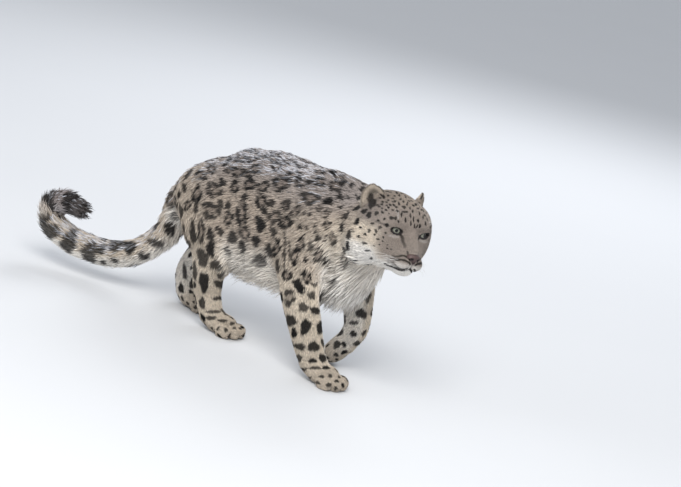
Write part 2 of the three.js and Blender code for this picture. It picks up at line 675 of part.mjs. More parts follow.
for (const [sideName, side] of [["left", 1], ["right", -1]]) {
  const root = inHead(-18, 62 * side, 52);
  const up = headAxis(-0.08, 0.42 * side, 0.9);
  const facing = headAxis(0.72, 0.62 * side, -0.1);
  facing.addScaledVector(up, -facing.dot(up)).normalize();
  const across = up.clone().cross(facing).multiplyScalar(side);
  const rings = [];
  for (let row = 0; row <= 7; row++) {
    const v = Math.sin((row / 7) * 1.5);
    const half = EAR_HALF_WIDTH * Math.sqrt(Math.max(0.03, 1 - Math.max(0, (v - 0.2) / 0.8) ** 4));
    const thick = lerp(12, 5, v);
    const ring = [];
    const point = (u, offset) =>
      root
        .clone()
        .addScaledVector(up, (v * (1 - 0.1 * u * u) - 0.05) * EAR_HEIGHT)
        .addScaledVector(across, u * half)
        .addScaledVector(facing, EAR_DEPTH * (half / EAR_HALF_WIDTH) * u * u * (1 - 0.3 * v) - offset - 8);
    for (let n = -4; n <= 4; n++) ring.push(point(n / 4, 0));
    for (let n = 4; n >= -4; n--) ring.push(point((n / 4) * 1.04, thick * (1 - 0.5 * (n / 4) ** 2)));
    rings.push(side > 0 ? ring : ring.reverse());
  }
  const ear = solidOf(loft(rings));
  place(`ear_${sideName}`, ear.subtract(headGrown), earCoat);
}

// Nose leather on the front of the muzzle
const noseAt = inHead(111.5, 0, -34);
const noseShape = new THREE.SphereGeometry(1, 16, 10);
noseShape.scale(13, 20, 14).translate(0, 0, 0);
const noseTurn = headTurn.clone().scale(vec(1 / HEAD_SCALE, 1 / HEAD_SCALE, 1 / HEAD_SCALE)).setPosition(noseAt);
let nose = solidOf(noseShape.applyMatrix4(noseTurn)).subtract(faceGrown);
for (const side of [1, -1]) nose = nose.subtract(ball(4.4, inHead(120.5, 10 * side, -37), 8));
place("nose", nose, noseLeather);

// Mouth
const onSkin = (x, y, z) => {
  const p = inHead(x, y, z);
  for (let n = 0; n < 6; n++) {
    const v = skull(p);
    const slope = vec(...[vec(1, 0, 0), vec(0, 1, 0), vec(0, 0, 1)].map((s) => skull(p.clone().add(s)) - v));
    p.addScaledVector(slope, -v / slope.lengthSq());
  }
  return p;
};
const mouthLine = [[62, 38, -67], [73, 34, -70], [87, 27, -69], [100, 15, -66], [108, 0, -63]];
const lipPoints = [...mouthLine, ...mouthLine.slice(0, -1).reverse().map(([x, y, z]) => [x, -y, z])];
const lipCurve = new THREE.CatmullRomCurve3(lipPoints.map((p) => onSkin(...p)));
face = face.subtract(solidOf(sweep(lipCurve, () => 3, 5, 22, 1, vec(0, 0, 1))));
const philtrum = new THREE.CatmullRomCurve3([[110, 0, -45], [113, 0, -52], [109, 0, -63]].map((p) => onSkin(...p)));
face = face.subtract(solidOf(sweep(philtrum, () => 2, 5, 4)));
place("face", face, coat);

// The part's own frame: the middle of its box on the floor
const bounds = new THREE.Box3().setFromObject(group);
const middle = bounds.getCenter(vec(0, 0, 0));
group.position.set(-middle.x, -middle.y, -bounds.min.z);

export default group;
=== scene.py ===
"""A life-size snow leopard in its winter coat, in mid-step with its head turned to its right."""
import math

import bmesh
import bpy
import numpy as np
from mathutils import Matrix, Vector
from mathutils.bvhtree import BVHTree
from mathutils.kdtree import KDTree


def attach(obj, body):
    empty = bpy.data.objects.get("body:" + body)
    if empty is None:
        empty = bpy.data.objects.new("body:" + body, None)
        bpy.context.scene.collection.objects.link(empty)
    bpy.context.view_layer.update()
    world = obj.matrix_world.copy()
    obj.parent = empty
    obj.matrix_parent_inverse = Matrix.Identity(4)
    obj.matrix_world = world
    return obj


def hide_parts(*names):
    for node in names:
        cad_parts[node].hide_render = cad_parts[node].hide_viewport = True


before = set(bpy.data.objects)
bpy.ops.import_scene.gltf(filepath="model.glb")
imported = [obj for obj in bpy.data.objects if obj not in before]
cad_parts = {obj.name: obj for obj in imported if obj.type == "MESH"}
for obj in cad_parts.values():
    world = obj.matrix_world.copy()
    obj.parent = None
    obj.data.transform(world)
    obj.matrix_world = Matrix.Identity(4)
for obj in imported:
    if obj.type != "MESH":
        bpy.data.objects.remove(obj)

bl_info = {
    "name": "Snow leopard",
    "version": (1, 0, 0),
    "blender": (4, 5, 0),
    "location": "View3D > Sidebar > Leopard",
    "description": "Skin, coat, eyes, nose and whiskers of a life-size snow leopard",
    "category": "Object",
}

COAT_SEED, MARKS_SEED, WHISKER_SEED = 731, 58, 12
RNG = np.random.default_rng(COAT_SEED)
STORE = {}  # what one operator leaves for the next: the skin, its points and normals, and the marks

# Sizes and places are in the solids' own millimetres: x towards the head, y to the animal's left, z up
SHIFT = np.array([492.1, 9.196, 0.0])  # from there to the row's frame, which is in metres
SHOULDER_HEIGHT = 585
RUMP_X = -716
HEAD_AT = np.array([82.0, -54.0, 494.0])
HEAD_YAW = math.radians(-18)
HEAD_ROLL = math.radians(-4.6)
HEAD_SCALE = 1.17
EYE_RADIUS = 17.0
EYE_AT = (57.5, 38.0, 17.0)
GAZE = (0.9, 0.34, -0.06)
NOSE_AT = (111.5, 0.0, -34.0)

CHEST = (-105, 0, 298), (92, 74, 78)  # the deep breast between the forelegs: its middle and half sizes
# Stations along a part: x, y, z, half width, half height
TRUNK = [
    (RUMP_X, 0, 336, 58, 58), (RUMP_X + 50, 0, 366, 92, 86), (-596, 0, 380, 120, 130),
    (-500, 0, 386, 136, 184), (-400, 0, 386, 142, 203), (-300, 0, 390, 141, 200),
    (-205, 0, SHOULDER_HEIGHT - 181, 132, 184), (-130, 0, 405, 118, 166), (-68, 0, 392, 96, 142),
]
NECK = [(-150, 0, 455, 104, 118), (-60, -14, 462, 104, 118), (10, -40, 474, 100, 110)]
# A leg: its stations, its paw's middle, the paw's heading and pitch in degrees, and its fillet to the trunk
LEGS = {
    "foreleg_right": (
        [(-175, -70, 425, 60, 92), (-178, -98, 330, 58, 76), (-160, -106, 255, 54, 64),
         (-118, -104, 165, 50, 54), (-84, -100, 100, 46, 48), (-58, -96, 56, 43, 43)],
        (-12, -93, 27), -3, 0, 60),
    "foreleg_left": (
        [(-170, 70, 425, 60, 90), (-150, 98, 330, 54, 70), (-104, 100, 262, 48, 56),
         (-76, 94, 190, 43, 46), (-67, 90, 138, 38, 41), (-86, 89, 92, 35, 36)],
        (-116, 89, 58), 0, 126, 60),
    "hindleg_right": (
        [(-618, -60, 388, 64, 100), (-562, -84, 315, 60, 94), (-530, -76, 235, 52, 72),
         (-535, -60, 150, 44, 53), (-525, -52, 92, 39, 44), (-504, -50, 50, 39, 39)],
        (-458, -47, 27), 4, 0, 70),
    "hindleg_left": (
        [(-630, 62, 385, 66, 100), (-622, 92, 310, 60, 92), (-640, 94, 235, 50, 68),
         (-696, 84, 168, 41, 48), (-726, 74, 100, 38, 41), (-712, 70, 52, 39, 39)],
        (-668, 67, 27), 6, 0, 70),
}
PAW_LENGTH = 128
PAW_WIDTH = 96
TOE_WIDTH = PAW_WIDTH / 3.6
TAIL = [  # x, y, z, radius
    (-715, 0, 358, 54), (-752, -2, 302, 50), (-770, -6, 232, 48), (-806, -20, 174, 46),
    (-858, -40, 128, 46), (-920, -60, 103, 47), (-998, -80, 94, 47), (-1080, -100, 102, 47),
    (-1142, -114, 130, 46), (-1158, -120, 176, 45), (-1116, -122, 208, 43), (-1048, -120, 211, 35),
]
FLESH = [n for n in sorted(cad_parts) if not n.startswith("eye") and n != "nose"]

SKIN_CELL = 0.006  # the skin's cells, in metres
SKIN_FLOOR, TUFT_FLOOR = 0.6, 1.0  # how far the soles and the hair stay above the floor
SCATTER_TRIES = 24000  # places tried for the marks that the photo doesn't show
LONG_HAIR = 17  # hair longer than this gets tufts with one more ring
PIECE_TRIANGLES = 190000  # the most triangles in one piece of the coat

# The photo's camera: degrees, millimetres and pixels
AZIMUTH, ELEVATION, ROLL = 36.0, 12.5, 13.0
AWAY, FOCAL = 7000.0, 2415.0
AIM, AIM_PIXEL = np.array([0.0, -90.0, 0.0]), (325.0, 385.0)
FRAME_WIDE, FRAME_HIGH = 681, 487

# The photo's pixel at the corner of each enlarged view of it, and how many times it is enlarged
FLANK_VIEW, SHOULDER_VIEW = (140, 140, 9.8), (270, 160, 11.2)
LEGS_VIEW, FACE_VIEW = (20, 120, 3.5636), (330, 160, 11.2)
# Marks read off those views, in each view's own pixels: place, half width, half height, ring or not.
# The face's are repeated on its other side. The face's first two rows are painted shadow in the near ear's opening, not
# marks of the coat.
SEEN_MARKS_AND_EAR_SHADOW = {
    "flank": (FLANK_VIEW, [
        (735, 490, 70, 70, 1), (700, 690, 68, 80, 1), (790, 660, 30, 80, 0), (1010, 720, 52, 105, 1),
        (940, 460, 48, 48, 1), (705, 290, 50, 45, 1), (1140, 290, 50, 50, 1), (1390, 430, 70, 75, 1),
        (1200, 600, 60, 60, 1), (570, 530, 40, 75, 1), (480, 640, 34, 45, 1), (565, 650, 24, 60, 0),
        (530, 900, 30, 105, 0), (610, 890, 38, 95, 1), (700, 920, 36, 60, 0), (790, 890, 36, 52, 0),
        (920, 940, 40, 62, 0), (1020, 1030, 34, 65, 0), (700, 1060, 46, 70, 0), (620, 1150, 48, 95, 0),
        (750, 1220, 52, 55, 0), (630, 1390, 50, 85, 0), (790, 1410, 65, 42, 0), (545, 1280, 24, 85, 0),
        (1190, 820, 46, 75, 0), (1150, 980, 38, 55, 0), (1430, 800, 60, 70, 1), (1280, 1080, 45, 60, 0),
        (1440, 650, 46, 50, 1), (350, 720, 34, 50, 0), (290, 860, 50, 60, 0), (160, 1000, 70, 34, 0),
        (295, 1010, 14, 40, 0), (165, 1105, 20, 24, 0), (30, 1120, 44, 34, 0), (440, 1290, 20, 75, 0),
        (900, 1350, 16, 22, 0), (600, 350, 55, 40, 1), (870, 640, 34, 34, 0), (820, 420, 36, 36, 0),
        (1040, 560, 36, 30, 0), (1060, 340, 40, 34, 1), (880, 300, 36, 30, 1), (450, 470, 26, 44, 0),
        (1300, 620, 34, 34, 0), (1320, 900, 34, 50, 0), (400, 530, 20, 40, 0), (1230, 690, 36, 36, 0),
    ]),
    "shoulder": (SHOULDER_VIEW, [
        (550, 250, 60, 50, 1), (700, 150, 48, 34, 0), (740, 300, 60, 72, 1), (815, 165, 36, 36, 1),
        (820, 262, 40, 40, 0), (910, 290, 30, 26, 0), (1040, 280, 32, 28, 0), (885, 420, 24, 18, 0),
        (960, 400, 18, 16, 0), (1025, 385, 16, 18, 0), (800, 540, 28, 18, 0), (785, 420, 44, 36, 0),
        (350, 750, 30, 28, 0), (455, 610, 18, 18, 0), (640, 730, 40, 45, 1), (540, 870, 34, 38, 0),
        (710, 880, 44, 60, 1), (460, 960, 36, 44, 0), (540, 1060, 50, 62, 1), (350, 940, 40, 70, 1),
        (280, 1080, 48, 75, 1), (400, 1115, 28, 30, 0), (640, 1150, 50, 52, 1), (410, 1310, 46, 66, 1),
        (200, 1290, 44, 62, 1), (310, 1390, 50, 56, 0), (490, 1390, 44, 20, 0), (725, 1300, 40, 32, 0),
        (850, 1000, 26, 44, 0), (840, 1100, 40, 50, 1), (820, 760, 22, 60, 0), (180, 880, 14, 90, 0),
        (175, 1090, 16, 90, 0), (230, 1000, 10, 90, 0), (180, 510, 40, 50, 1), (200, 700, 46, 50, 1),
        (380, 390, 40, 24, 0), (480, 540, 20, 16, 0), (390, 600, 20, 14, 0), (420, 750, 18, 18, 0),
        (510, 740, 22, 16, 0), (370, 850, 18, 20, 0), (520, 800, 18, 12, 0), (640, 600, 30, 50, 1),
        (560, 540, 30, 30, 1), (950, 800, 14, 14, 0), (90, 880, 20, 12, 0), (620, 880, 14, 50, 0),
    ]),
    "legs": (LEGS_VIEW, [
        (962, 632, 19, 24, 1), (1010, 668, 18, 14, 0), (1052, 680, 20, 11, 0), (965, 715, 18, 22, 0),
        (1017, 737, 17, 26, 0), (1068, 740, 12, 22, 0), (998, 808, 19, 12, 0), (1046, 808, 18, 18, 0),
        (1078, 850, 12, 15, 0), (1042, 858, 13, 9, 0), (996, 848, 14, 12, 0), (1010, 888, 16, 6, 0),
        (1052, 884, 18, 6, 0), (1090, 884, 12, 7, 0), (1000, 602, 17, 14, 0), (1075, 915, 9, 6, 0),
        (1105, 913, 8, 6, 0), (1062, 937, 9, 6, 0), (1100, 944, 9, 8, 0), (1130, 930, 9, 6, 0),
        (1126, 956, 7, 6, 0), (1150, 945, 6, 7, 0), (1035, 918, 8, 5, 0), (1148, 682, 18, 12, 0),
        (1216, 690, 17, 17, 0), (1190, 722, 15, 7, 0), (1188, 762, 11, 10, 0), (1200, 795, 14, 8, 0),
        (1130, 800, 12, 14, 0), (1126, 836, 9, 7, 0), (1160, 846, 10, 7, 0), (1155, 800, 8, 10, 0),
        (710, 636, 24, 7, 0), (650, 652, 12, 18, 0), (690, 684, 24, 6, 0), (735, 684, 16, 5, 0),
        (640, 690, 10, 10, 0), (680, 706, 22, 6, 0), (722, 716, 16, 5, 0), (756, 726, 10, 5, 0),
        (790, 741, 9, 5, 0), (765, 742, 8, 4, 0), (575, 600, 9, 18, 0), (612, 585, 8, 16, 0),
        (395, 455, 22, 18, 0), (345, 448, 26, 22, 0), (296, 462, 14, 14, 0), (252, 470, 32, 30, 0),
        (178, 432, 30, 30, 0),
        (108, 395, 34, 30, 0), (92, 350, 20, 22, 0), (150, 325, 30, 28, 0), (340, 496, 12, 8, 0),
        (300, 500, 10, 8, 0), (215, 500, 10, 8, 0),
    ]),
    "face": (FACE_VIEW, [
        # painted shadow in the near ear's opening, drawn as two dark marks; the rows after them are the face's marks
        (476, 487, 36, 52, 0), (454, 431, 34, 45, 0), (627, 342, 18, 11, 0), (689, 323, 16, 11, 0),
        (773, 338, 13, 16, 0), (650, 403, 13, 10, 0), (610, 660, 11, 11, 0), (540, 680, 14, 11, 0),
        (475, 712, 19, 11, 0), (440, 792, 14, 20, 0), (395, 832, 18, 12, 0), (325, 855, 22, 11, 0),
        (516, 797, 13, 20, 0), (560, 755, 15, 18, 0), (636, 728, 20, 16, 0), (690, 650, 22, 18, 0),
        (735, 655, 14, 16, 0), (500, 835, 10, 9, 0), (595, 865, 9, 10, 0), (535, 886, 15, 10, 0),
        (622, 815, 10, 12, 0), (385, 932, 26, 12, 0), (422, 1015, 28, 10, 0), (460, 1100, 18, 12, 0),
        (495, 960, 11, 6, 0), (555, 948, 9, 7, 0), (640, 990, 10, 6, 0), (682, 1000, 9, 6, 0),
        (590, 910, 8, 6, 0),
        (350, 756, 16, 7, 0), (765, 690, 10, 14, 0), (640, 950, 9, 5, 0), (700, 560, 12, 9, 0),
        (745, 370, 11, 16, 0), (775, 400, 10, 16, 0), (722, 405, 9, 9, 0), (726, 465, 14, 13, 0),
        (790, 440, 11, 11, 0), (772, 492, 9, 19, 0), (828, 530, 20, 14, 0), (838, 582, 28, 10, 0),
        (800, 612, 9, 20, 0), (845, 672, 11, 22, 0), (822, 468, 10, 12, 0), (862, 500, 8, 12, 0),
        (845, 420, 9, 8, 0), (895, 540, 8, 14, 0), (925, 575, 8, 16, 0), (900, 625, 7, 26, 0),
        (935, 665, 7, 26, 0),
        (905, 710, 7, 22, 0), (945, 740, 7, 22, 0), (960, 500, 15, 16, 0), (985, 545, 12, 10, 0),
        (1000, 600, 8, 16, 0), (1022, 560, 8, 12, 0), (945, 440, 18, 9, 0), (1000, 480, 8, 8, 0),
        (985, 680, 9, 20, 0), (1005, 740, 9, 20, 0), (870, 480, 8, 8, 0), (905, 430, 9, 7, 0),
        (700, 470, 7, 7, 0),
        (1040, 640, 6, 22, 0), (660, 600, 8, 7, 0),
    ]),
}


def in_photo(group):
    """A group's marks in the photo's own pixels; the face's include painted shadow in the near ear's opening."""
    (left, top, enlarged), rows = SEEN_MARKS_AND_EAR_SHADOW[group]
    return [(left + x / enlarged, top + y / enlarged, wide / enlarged, high / enlarged, is_ring)
            for x, y, wide, high, is_ring in rows]


def to_metres(p):
    """The row's metres from the solids' millimetres."""
    return (np.asarray(p, float) + SHIFT) / 1000


def to_mm(p):
    """The solids' millimetres from the row's metres."""
    return np.asarray(p, float) * 1000 - SHIFT


def cast(tree, start, way):
    """Where a ray meets the skin, or None."""
    hit = tree.ray_cast(Vector(to_metres(start)), Vector(way))[0]
    return None if hit is None else to_mm(hit)


# Fields: rough distance outside a form, for many points at once

def unit(v):
    """Directions of length one."""
    return v / np.maximum(np.linalg.norm(v, axis=-1, keepdims=True), 1e-9)


def ramp(x, low, high):
    """A soft step from 0 at low to 1 at high."""
    t = np.clip((np.asarray(x, float) - low) / (high - low), 0, 1)
    return t * t * (3 - 2 * t)


def mix(a, b, t):
    """From a to b as t goes from 0 to 1, for numbers or for colours."""
    a, b, t = np.asarray(a, float), np.asarray(b, float), np.asarray(t, float)
    if a.shape[-1:] == (3,) and t.ndim == 1:
        t = t[..., None]
    return a * (1 - t) + b * t


def fillet(a, b, width):
    """Two forms joined with a rounded corner."""
    near = np.maximum(width - np.abs(a - b), 0) / width
    return np.minimum(a, b) - near * near * width / 4


def ellipsoid(p, centre, radii):
    """The distance outside an egg of the given half sizes."""
    d = p - np.array(centre, float)
    far = np.linalg.norm(d, axis=1)
    share = np.maximum(np.linalg.norm(d / np.array(radii, float), axis=1), 1e-6)
    return far * (1 - 1 / share)


def smooth_line(points, t):
    """A centripetal spline through the points, at t from 0 to 1."""
    points = np.array(points, float)
    last = len(points) - 1
    i = min(int(t * last), last - 1)
    s = t * last - i
    p1, p2 = points[i], points[i + 1]
    p0 = points[i - 1] if i else 2 * p1 - p2
    p3 = points[i + 2] if i + 2 <= last else 2 * p2 - p1
    d0, d1, d2 = (max(np.linalg.norm(b - a) ** 0.5, 1e-4) for a, b in ((p0, p1), (p1, p2), (p2, p3)))
    m1 = ((p1 - p0) / d0 - (p2 - p0) / (d0 + d1) + (p2 - p1) / d1) * d1
    m2 = ((p2 - p1) / d1 - (p3 - p1) / (d1 + d2) + (p3 - p2) / d2) * d1
    return p1 + m1 * s + (3 * (p2 - p1) - 2 * m1 - m2) * s ** 2 + (2 * (p1 - p2) + m1 + m2) * s ** 3


class Limb:
    """A tube with elliptical sections along a line of stations (x, y, z, half width, half height)."""

    def __init__(self, stations, samples=5):
        last = len(stations) - 1
        centres = [s[:3] for s in stations]
        line = []
        for k in range(last * samples + 1):
            t = k / (last * samples)
            i = min(int(t * last), last - 1)
            f = t * last - i
            share = 0.5 * f + 0.5 * f * f * (3 - 2 * f)
            a, b = stations[i], stations[i + 1]
            wide = a[3] + (b[3] - a[3]) * share
            high = a[-1] + (b[-1] - a[-1]) * share
            line.append((smooth_line(centres, t), wide, high))
        self.start = np.array([a[0] for a in line[:-1]])
        self.wide = np.array([(a[1], b[1]) for a, b in zip(line, line[1:])])
        self.high = np.array([(a[2], b[2]) for a, b in zip(line, line[1:])])
        step = np.array([b[0] - a[0] for a, b in zip(line, line[1:])])
        self.length = np.linalg.norm(step, axis=1)
        self.along = step / self.length[:, None]
        side = np.array([0.0, 1, 0]) - self.along * self.along[:, 1:2]
        self.side = unit(side)
        self.up = np.cross(self.along, self.side)
        reach = self.wide.max() + 160
        self.low = self.start.min(0) - reach
        self.top = self.start.max(0) + reach

    def at(self, p):
        """Distance, direction along the line and share of the way along it."""
        n = len(p)
        distance, along, way = np.full(n, 900.0), np.zeros((n, 3)), np.zeros(n)
        near = np.all((p > self.low) & (p < self.top), axis=1)
        q = p[near]
        if not len(q):
            return distance, along, way
        best, pick, part = np.full(len(q), np.inf), np.zeros(len(q), int), np.zeros(len(q))
        for i, (a, v, size) in enumerate(zip(self.start, self.along, self.length)):
            d = q - a
            t = np.clip(d @ v / size, 0, 1)
            r = ((d - np.outer(t * size, v)) ** 2).sum(1)
            m = r < best
            best[m], pick[m], part[m] = r[m], i, t[m]
        w = self.wide[pick, 0] + (self.wide[pick, 1] - self.wide[pick, 0]) * part
        h = self.high[pick, 0] + (self.high[pick, 1] - self.high[pick, 0]) * part
        v = self.along[pick]
        d = q - self.start[pick] - v * (part * self.length[pick])[:, None]
        share = np.sqrt(((d * self.side[pick]).sum(1) / w) ** 2 + ((d * self.up[pick]).sum(1) / h) ** 2
                        + (2 * (d * v).sum(1) / (w + h)) ** 2)
        share = np.maximum(share, 1e-6)
        distance[near] = np.linalg.norm(d, axis=1) * (1 - 1 / share)
        along[near] = v
        way[near] = (pick + part) / len(self.length)
        return distance, along, way


def turn(roll, pitch, yaw):
    """Columns are the turned axes: about x, then y, then z."""
    return np.array(Matrix.Rotation(yaw, 3, "Z") @ Matrix.Rotation(pitch, 3, "Y") @ Matrix.Rotation(roll, 3, "X"))


HEAD_TURN = turn(HEAD_ROLL, 0, HEAD_YAW)
BRIDGE = Limb([(48, 0, 22, 26, 18), (80, 0, 0, 20, 15), (103, 0, -21, 16, 13)])
SKULL = [
    ((-8, 0, 28), (78, 78, 68), 0), ((40, 0, 42), (42, 52, 38), 26), ((20, 49, 24), (42, 34, 44), 24),
    ((14, 51, -18), (54, 41, 54), 30), ((-12, 54, -52), (46, 32, 42), 30), ((50, 26, -36), (42, 28, 34), 26),
    ((34, 0, -54), (58, 44, 38), 26), ((72, 0, -45), (43, 37, 31), 18), (BRIDGE, None, 14),
    ((94, 18, -52), (24, 21, 19), 9), ((58, 38, 37), (20, 22, 11), 18), ((79, 0, -75), (24, 25, 15), 10),
]
LINES = {name: Limb(leg[0]) for name, leg in LEGS.items()}
EAR_HEIGHT, EAR_HALF_WIDTH, EAR_DEPTH = 60.0, 35.0, 17.0
TRUNK_LINE, NECK_LINE = Limb(TRUNK), Limb(NECK)
TAIL_LINE = Limb([(*s, s[3]) for s in TAIL], 3)


def to_head(p):
    """Points in the head's own axes, with its turn and scale undone."""
    return (p - HEAD_AT) @ HEAD_TURN / HEAD_SCALE


def from_head(q):
    """Points given in the head's own axes, back among the solids."""
    return np.asarray(q, float) * HEAD_SCALE @ HEAD_TURN.T + HEAD_AT


def folded(q):
    """The head's points with its right side laid over its left."""
    return np.column_stack([q[:, 0], np.abs(q[:, 1]), q[:, 2]])


def skull(p):
    """The head: forms with no place across it stand once, the others on both sides."""
    q = to_head(p)
    f = folded(q)
    d = None
    for centre, radii, width in SKULL:
        if radii is None:
            form = centre.at(q)[0]
        else:
            form = ellipsoid(f if centre[1] else q, centre, radii)
        d = form if d is None else fillet(d, form, width)
    return d * HEAD_SCALE


def paw(p, leg):
    """A foot with four toes."""
    _, at, heading, pitch, _ = LEGS[leg]
    q = (p - np.array(at, float)) @ turn(0, math.radians(pitch), math.radians(heading))
    foot = ellipsoid(q, (0, 0, 2), (PAW_LENGTH * 0.42, PAW_WIDTH * 0.46, 34))
    for across, reach in ((-1.45, 0.3), (-0.5, 0.42), (0.5, 0.42), (1.45, 0.3)):
        toe = ellipsoid(q, (PAW_LENGTH * reach, across * TOE_WIDTH, -10), (TOE_WIDTH * 1.1, TOE_WIDTH * 0.6, 22))
        foot = fillet(foot, toe, 10)
    return foot


def trunk(p):
    """Barrel, neck and breast."""
    d = fillet(TRUNK_LINE.at(p)[0], NECK_LINE.at(p)[0], 60)
    return fillet(d, ellipsoid(p, *CHEST), 50)


def body(p):
    """The whole animal without its ears."""
    core = trunk(p)
    d = core
    for name, line in LINES.items():
        leg = fillet(line.at(p)[0], paw(p, name), 22)
        d = np.minimum(d, fillet(core, leg, LEGS[name][4]))
    d = np.minimum(d, fillet(core, skull(p), 50))
    return np.minimum(d, fillet(core, TAIL_LINE.at(p)[0], 45))


def ear_axes(side):
    """Root, up, across (outwards) and facing of an ear."""
    root = from_head([(-18, 62 * side, 52)])[0]
    up = unit(np.array([-0.08, 0.42 * side, 0.9])) @ HEAD_TURN.T
    facing = unit(np.array([0.72, 0.62 * side, -0.1])) @ HEAD_TURN.T
    facing = unit(facing - up * (facing @ up))
    return root, up, np.cross(up, facing) * side, facing


def ear_place(p):
    """Share of the way up and across the nearer ear, and the distance before its plane; far off away from it."""
    place = np.full((len(p), 3), 9.0)
    for side in (1, -1):
        root, up, across, facing = ear_axes(side)
        d = p - root
        mine = np.linalg.norm(d - up * 34, axis=1) < 62
        own = np.column_stack([d @ up / EAR_HEIGHT, d @ across / EAR_HALF_WIDTH, d @ facing])
        place[mine] = own[mine]
    return place


def ear_shell(side):
    """A rounded cup, as a stack of crescents from its root to its rim."""
    root, up, across, facing = ear_axes(side)
    rows, cols = 18, 15
    rings = []
    for row in range(rows):
        v = math.sin(row / (rows - 1) * 1.5)
        half = EAR_HALF_WIDTH * math.sqrt(max(0.1, 1 - max(0, (v - 0.2) / 0.8) ** 3))
        thick = 10.5 + (4.0 - 10.5) * v
        ring = []
        for front in (True, False):
            for k in range(cols):
                u = (k / (cols - 1) * 2 - 1) * (1 if front else -1)
                off = 1.0 if front else thick * (1 - 0.5 * u * u)
                high = (v * (1 - 0.03 * u * u) - 0.05) * EAR_HEIGHT
                depth = EAR_DEPTH * (half / EAR_HALF_WIDTH) * u * u * (1 - 0.3 * v) - off - 8
                ring.append(root + up * high + across * (u * half * (1 if front else 1.03)) + facing * depth)
        rings.append(ring)
    points = np.array(rings).reshape(-1, 3)
    n = 2 * cols
    k = np.arange(n)
    quads = [np.column_stack([r * n + k, r * n + (k + 1) % n, (r + 1) * n + (k + 1) % n, (r + 1) * n + k])
             for r in range(rows - 1)]
    k = np.arange(cols - 1)
    for row in (0, rows - 1):
        base = row * n
        quads.append(np.column_stack([base + k, base + k + 1, base + n - 2 - k, base + n - 1 - k]))
    return points, np.concatenate(quads)


def slope(field, p, step=1.0):
    """A field's value and the way that it grows."""
    v = field(p)
    g = np.column_stack([field(p + step * e) - v for e in np.eye(3)]) / step
    return v, g


# The coat: what grows where

class Place:
    """What the coat needs to know at each point: the share of each part of the body, and the lie."""

    def __init__(self, p, n):
        q = to_head(p)
        self.p, self.n, self.q = p, n, q
        core = TRUNK_LINE.at(p)[0]
        neck, neck_along, _ = NECK_LINE.at(p)
        tail, tail_along, self.tail_way = TAIL_LINE.at(p)
        chest = ellipsoid(p, *CHEST)
        legs = [line.at(p) for line in LINES.values()]
        paws = [paw(p, name) for name in LINES]
        parts = np.column_stack([core, neck, chest, tail, skull(p)] + [leg[0] for leg in legs] + paws)
        share = np.exp(-(parts - parts.min(1, keepdims=True)) / 14)
        share /= share.sum(1, keepdims=True)
        self.trunk, self.neck, self.chest = share[:, 0], share[:, 1], share[:, 2]
        self.tail, self.head = share[:, 3], share[:, 4]
        self.leg = share[:, 5:9]
        self.legs = self.leg.sum(1)
        self.paws = share[:, 9:13].sum(1)
        self.leg_way = sum(self.leg[:, i] * leg[2] for i, leg in enumerate(legs)) / np.maximum(self.legs, 1e-6)
        down = np.array([0, 0, -1.0])
        flank = 1 - np.abs(n[:, 2])
        lie = self.trunk[:, None] * (np.array([-1.0, 0, 0]) + down * (0.15 + 0.4 * flank)[:, None])
        lie += self.neck[:, None] * (-neck_along + down * (0.2 + 0.35 * flank)[:, None])
        lie += self.chest[:, None] * np.array([-0.5, 0, -1.0])
        lie += self.tail[:, None] * tail_along
        from_nose = np.column_stack([q[:, 0] - 112, q[:, 1], q[:, 2] + 30])
        from_nose = unit(from_nose) + np.array([-0.35, 0, -0.25])
        lie += self.head[:, None] * (from_nose @ HEAD_TURN.T)
        for i, leg in enumerate(legs):
            lie += self.leg[:, i:i + 1] * (leg[1] + np.array([-0.35, 0, 0]))
        for i, name in enumerate(LINES):
            _, at, heading, pitch, _ = LEGS[name]
            forward = turn(0, math.radians(pitch), math.radians(heading))[:, 0]
            lie += share[:, 9 + i:10 + i] * (forward + down * 0.4)
        lie -= n * (lie * n).sum(1, keepdims=True)
        self.lie = unit(lie)
        self.below = ramp(-n[:, 2], 0.15, 0.75)
        self.above = ramp(n[:, 2], 0.45, 0.9)
        front = ramp(n[:, 0], -0.05, 0.4) * ramp(p[:, 0], -190, -110) * ramp(-p[:, 2], -450, -400)
        front *= (p[:, 0] < 120) * (1 - self.head) * (1 - self.legs - self.paws)
        self.chest += front * (self.trunk + self.neck)
        self.trunk, self.neck = self.trunk * (1 - front), self.neck * (1 - front)
        # the head's own regions
        self.muzzle = self.head * ramp(q[:, 0], 66, 88)
        self.face = self.head * ramp(q[:, 0], 8, 40)
        self.ruff = self.head * ramp(-q[:, 0], -30, 8) * ramp(-q[:, 2], -20, 30) * ramp(np.abs(q[:, 1]), 20, 60)
        self.throat = self.head * ramp(-q[:, 2], 62, 84) * ramp(-q[:, 0], -62, -20)
        self.ear_place = ear_place(p)
        self.ear = ramp(skull(p), 5, 12) * (self.ear_place[:, 0] < 2)
        self.ear_inside = np.zeros(len(p))
        for side in (1, -1):
            _, ear_up, ear_across, facing = ear_axes(side)
            mine = (self.ear > 0.3) & (np.sign(q[:, 1]) == side)
            self.ear_inside[mine] = (n[mine] @ facing > 0.1)
            up = ear_up + 0.35 * ear_across * self.ear_place[mine, 1:2]
            self.lie[mine] = unit(up - n[mine] * (n[mine] * up).sum(1, keepdims=True))

    def blend_of(self, trunk, neck, chest, tail, head, leg, foot):
        """One value for each part, mixed by how much of each a point belongs to."""
        parts = ((self.trunk, trunk), (self.neck, neck), (self.chest, chest), (self.tail, tail),
                 (self.head, head), (self.legs, leg), (self.paws, foot))
        return sum(share * value for share, value in parts)


